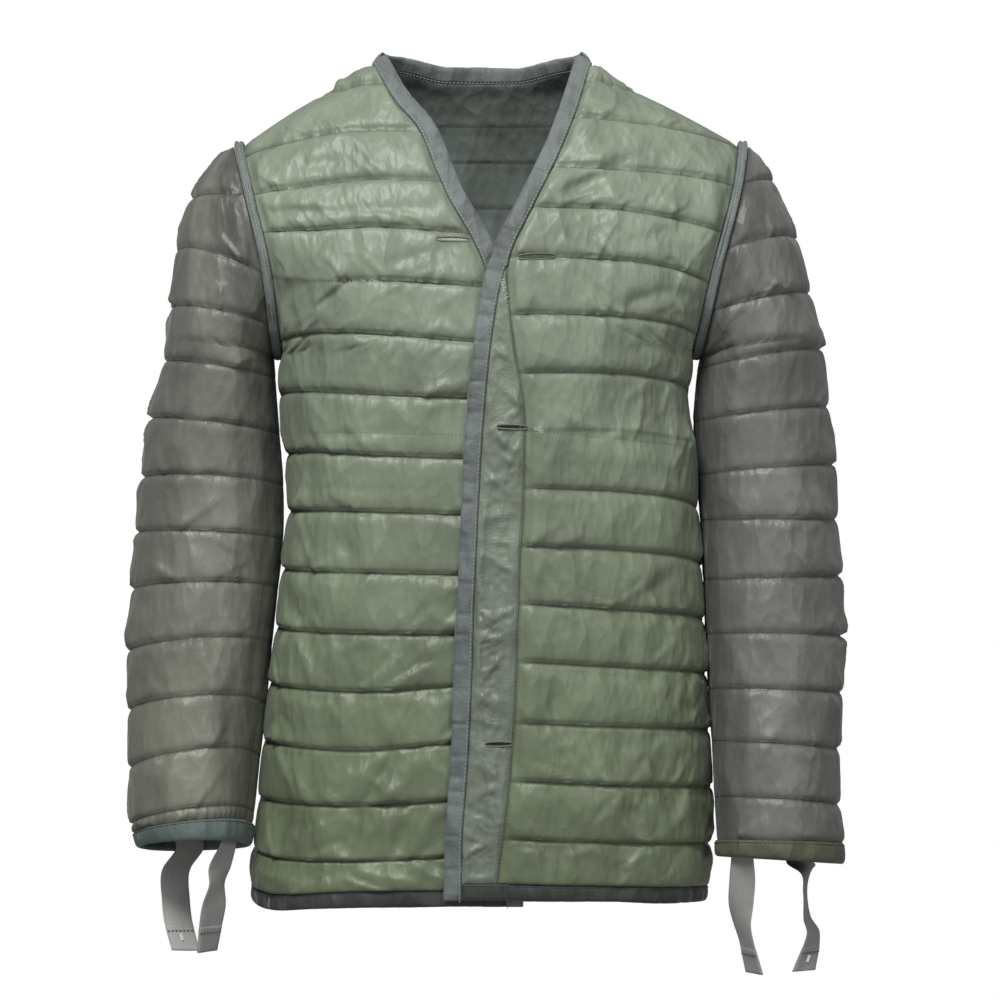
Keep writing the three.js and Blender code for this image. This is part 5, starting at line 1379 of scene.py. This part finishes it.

# Buttonholes: two in the strip, and one in the quilting of each front. Each is a slit between two lips of
# close zigzag stitches. One shows the white wadding inside; the two in the strip show a near-black sheet of
# painted shade.
BUTTONHOLES = table("name on x z length tilt open proud", [
    ("buttonhole_front_right", "right", -0.0291, -0.1641, 0.029, -0.03, 0.0011, 0),
    ("buttonhole_front_left", "left", 0.0434, -0.1797, 0.031, 0.04, 0.0017, 0.0022),
    ("buttonhole_strip_upper", "strip", 0.0222, -0.3275, 0.026, -0.03, 0.0011, 0),
    ("buttonhole_strip_lower", "strip", 0.0104, -0.6015, 0.023, 0.02, 0.0012, 0),
])
LIP_WIDTH = 0.0017
LIP_HEIGHT = 0.0011
LIP_WALL = 0.0014
SLIT_WALL = 0.0012


def on_cloth(cloth, x, z):
    """The point of a piece's outer side at x and z, as seen from the front."""
    away = np.hypot(cloth["outer"][..., 0] - x, cloth["outer"][..., 2] - z).ravel()
    nearest = np.argsort(away)[:6]
    weight = 1 / (away[nearest] + 1e-5) ** 2
    return np.array([x, cloth["outer"].reshape(-1, 3)[nearest, 1] @ weight / weight.sum(), z])


def stitched_lip_material(name, colour):
    material, tree = new_material(name, {"Base Color": (*colour, 1), "Roughness": 0.6})
    spots = node(tree, "ShaderNodeUVMap", {}, uv_map="cloth")
    threads = node(tree, "ShaderNodeTexWave", {
        "Scale": 420, "Distortion": 1.5, "Vector": spots.outputs["UV"]})
    raised = node(tree, "ShaderNodeBump", {
        "Strength": 0.8, "Distance": 0.0006, "Height": threads.outputs["Fac"]})
    feed(tree, tree.nodes["Principled BSDF"], {"Normal": raised.outputs["Normal"]})
    return material


LIP_THREAD = stitched_lip_material("buttonhole thread", (0.19, 0.215, 0.17))
SLIT_GREEN = stitched_lip_material("cloth in a closed buttonhole", (0.13, 0.155, 0.11))
# Painted shade: the strip's open slits are a near-black sheet standing for the shadow inside them.
SLIT_PAINTED_SHADE = stitched_lip_material("dark inside of a buttonhole", (0.02, 0.024, 0.018))
SLIT_WHITE = stitched_lip_material("white wadding in a buttonhole", (0.75, 0.75, 0.72))
SHADES_OF_SLITS = {"buttonhole_front_right": SLIT_WHITE, "buttonhole_front_left": SLIT_GREEN}
cloths = {"right": FRONTS["right"], "left": FRONTS["left"], "strip": strip}
for hole in BUTTONHOLES:
    along = np.linspace(-1, 1, 45)
    x = hole["x"] + along * hole["length"] / 2
    z = hole["z"] + along * hole["tilt"] * hole["length"] / 2
    middle = np.array([on_cloth(cloths[hole["on"]], a, b) for a, b in zip(x, z)])
    middle[:, 1] = np.convolve(np.pad(middle[:, 1], 4, mode="edge"), np.ones(9) / 9, mode="valid")
    middle[:, 1] -= hole["proud"]
    opened = hole["open"] * np.sqrt(np.maximum(0, 1 - along ** 2))
    across = np.linspace(0, 1, 7)
    for label, way in (("lip_above", 1), ("lip_below", -1)):
        rise = opened[:, None] + LIP_WIDTH * across[None, :]
        lip_y = middle[:, 1, None] - 0.0003 - LIP_HEIGHT * np.sin(np.pi * across)[None, :]
        front = np.stack([middle[:, 0, None] + 0 * rise, lip_y, middle[:, 2, None] + way * rise], axis=-1)
        u, v = np.meshgrid(across * LIP_WIDTH, along * hole["length"] / 2)
        lip = cloth_object(f"{hole['name']}_{label}", front, front + (0, LIP_WALL, 0), v, u, LIP_THREAD)
        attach(lip, "root")
    inside = np.stack([middle[:, 0, None] + 0 * across[None, :],
                       middle[:, 1, None] - 0.0004 + 0 * across[None, :],
                       middle[:, 2, None] + opened[:, None] * (2 * across - 1)[None, :]], axis=-1)
    u, v = np.meshgrid(across, along)
    shade = SHADES_OF_SLITS.get(hole["name"], SLIT_PAINTED_SHADE)
    slit = cloth_object(f"{hole['name']}_slit", inside, inside + (0, SLIT_WALL, 0), u, v, shade)
    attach(slit, "root")

# Worn places: rows of needle holes where stitching has come out, and frayed threads at three spots.
HOLE_ROWS = table("on x1 z1 x2 z2", [
    ("right", -0.176, -0.1995, -0.128, -0.2),
    ("right", -0.162, -0.3305, -0.02, -0.334),
    ("left", 0.046, -0.331, 0.168, -0.342),
])
FRAY_LENGTH = 0.004
FRAY_SPREAD = 0.0007
HOLES_IN_A_ROW = 60
FRAYS = table("on x1 z1 x2 z2 count", [
    ("right", -0.127, -0.2005, -0.076, -0.2, 46),
    ("left", 0.042, -0.329, 0.048, -0.332, 14),
    ("strip", 0.0125, -0.196, 0.0175, -0.216, 34),
])


def along_cloth(cloth, row, count):
    shares = np.linspace(0, 1, count)
    line = [on_cloth(cloth, mix(row["x1"], row["x2"], a), mix(row["z1"], row["z2"], a)) for a in shares]
    return np.array(line) - (0, 0.0003, 0)


hole_lines = [along_cloth(cloths[row["on"]], row, HOLES_IN_A_ROW) for row in HOLE_ROWS]
sew("needle_holes", hole_lines, "holes")
random = np.random.default_rng(12)
threads = []
for row in FRAYS:
    for start in along_cloth(cloths[row["on"]], row, row["count"]):
        start = start + random.normal(0, FRAY_SPREAD, 3) * (1, 0, 1)
        way = random.normal(0, 1, 3) * (1, 0.25, 0.6)
        threads.append(np.array([start, start + way / np.linalg.norm(way) * FRAY_LENGTH]))
sew("frayed_threads", threads, "frayed")
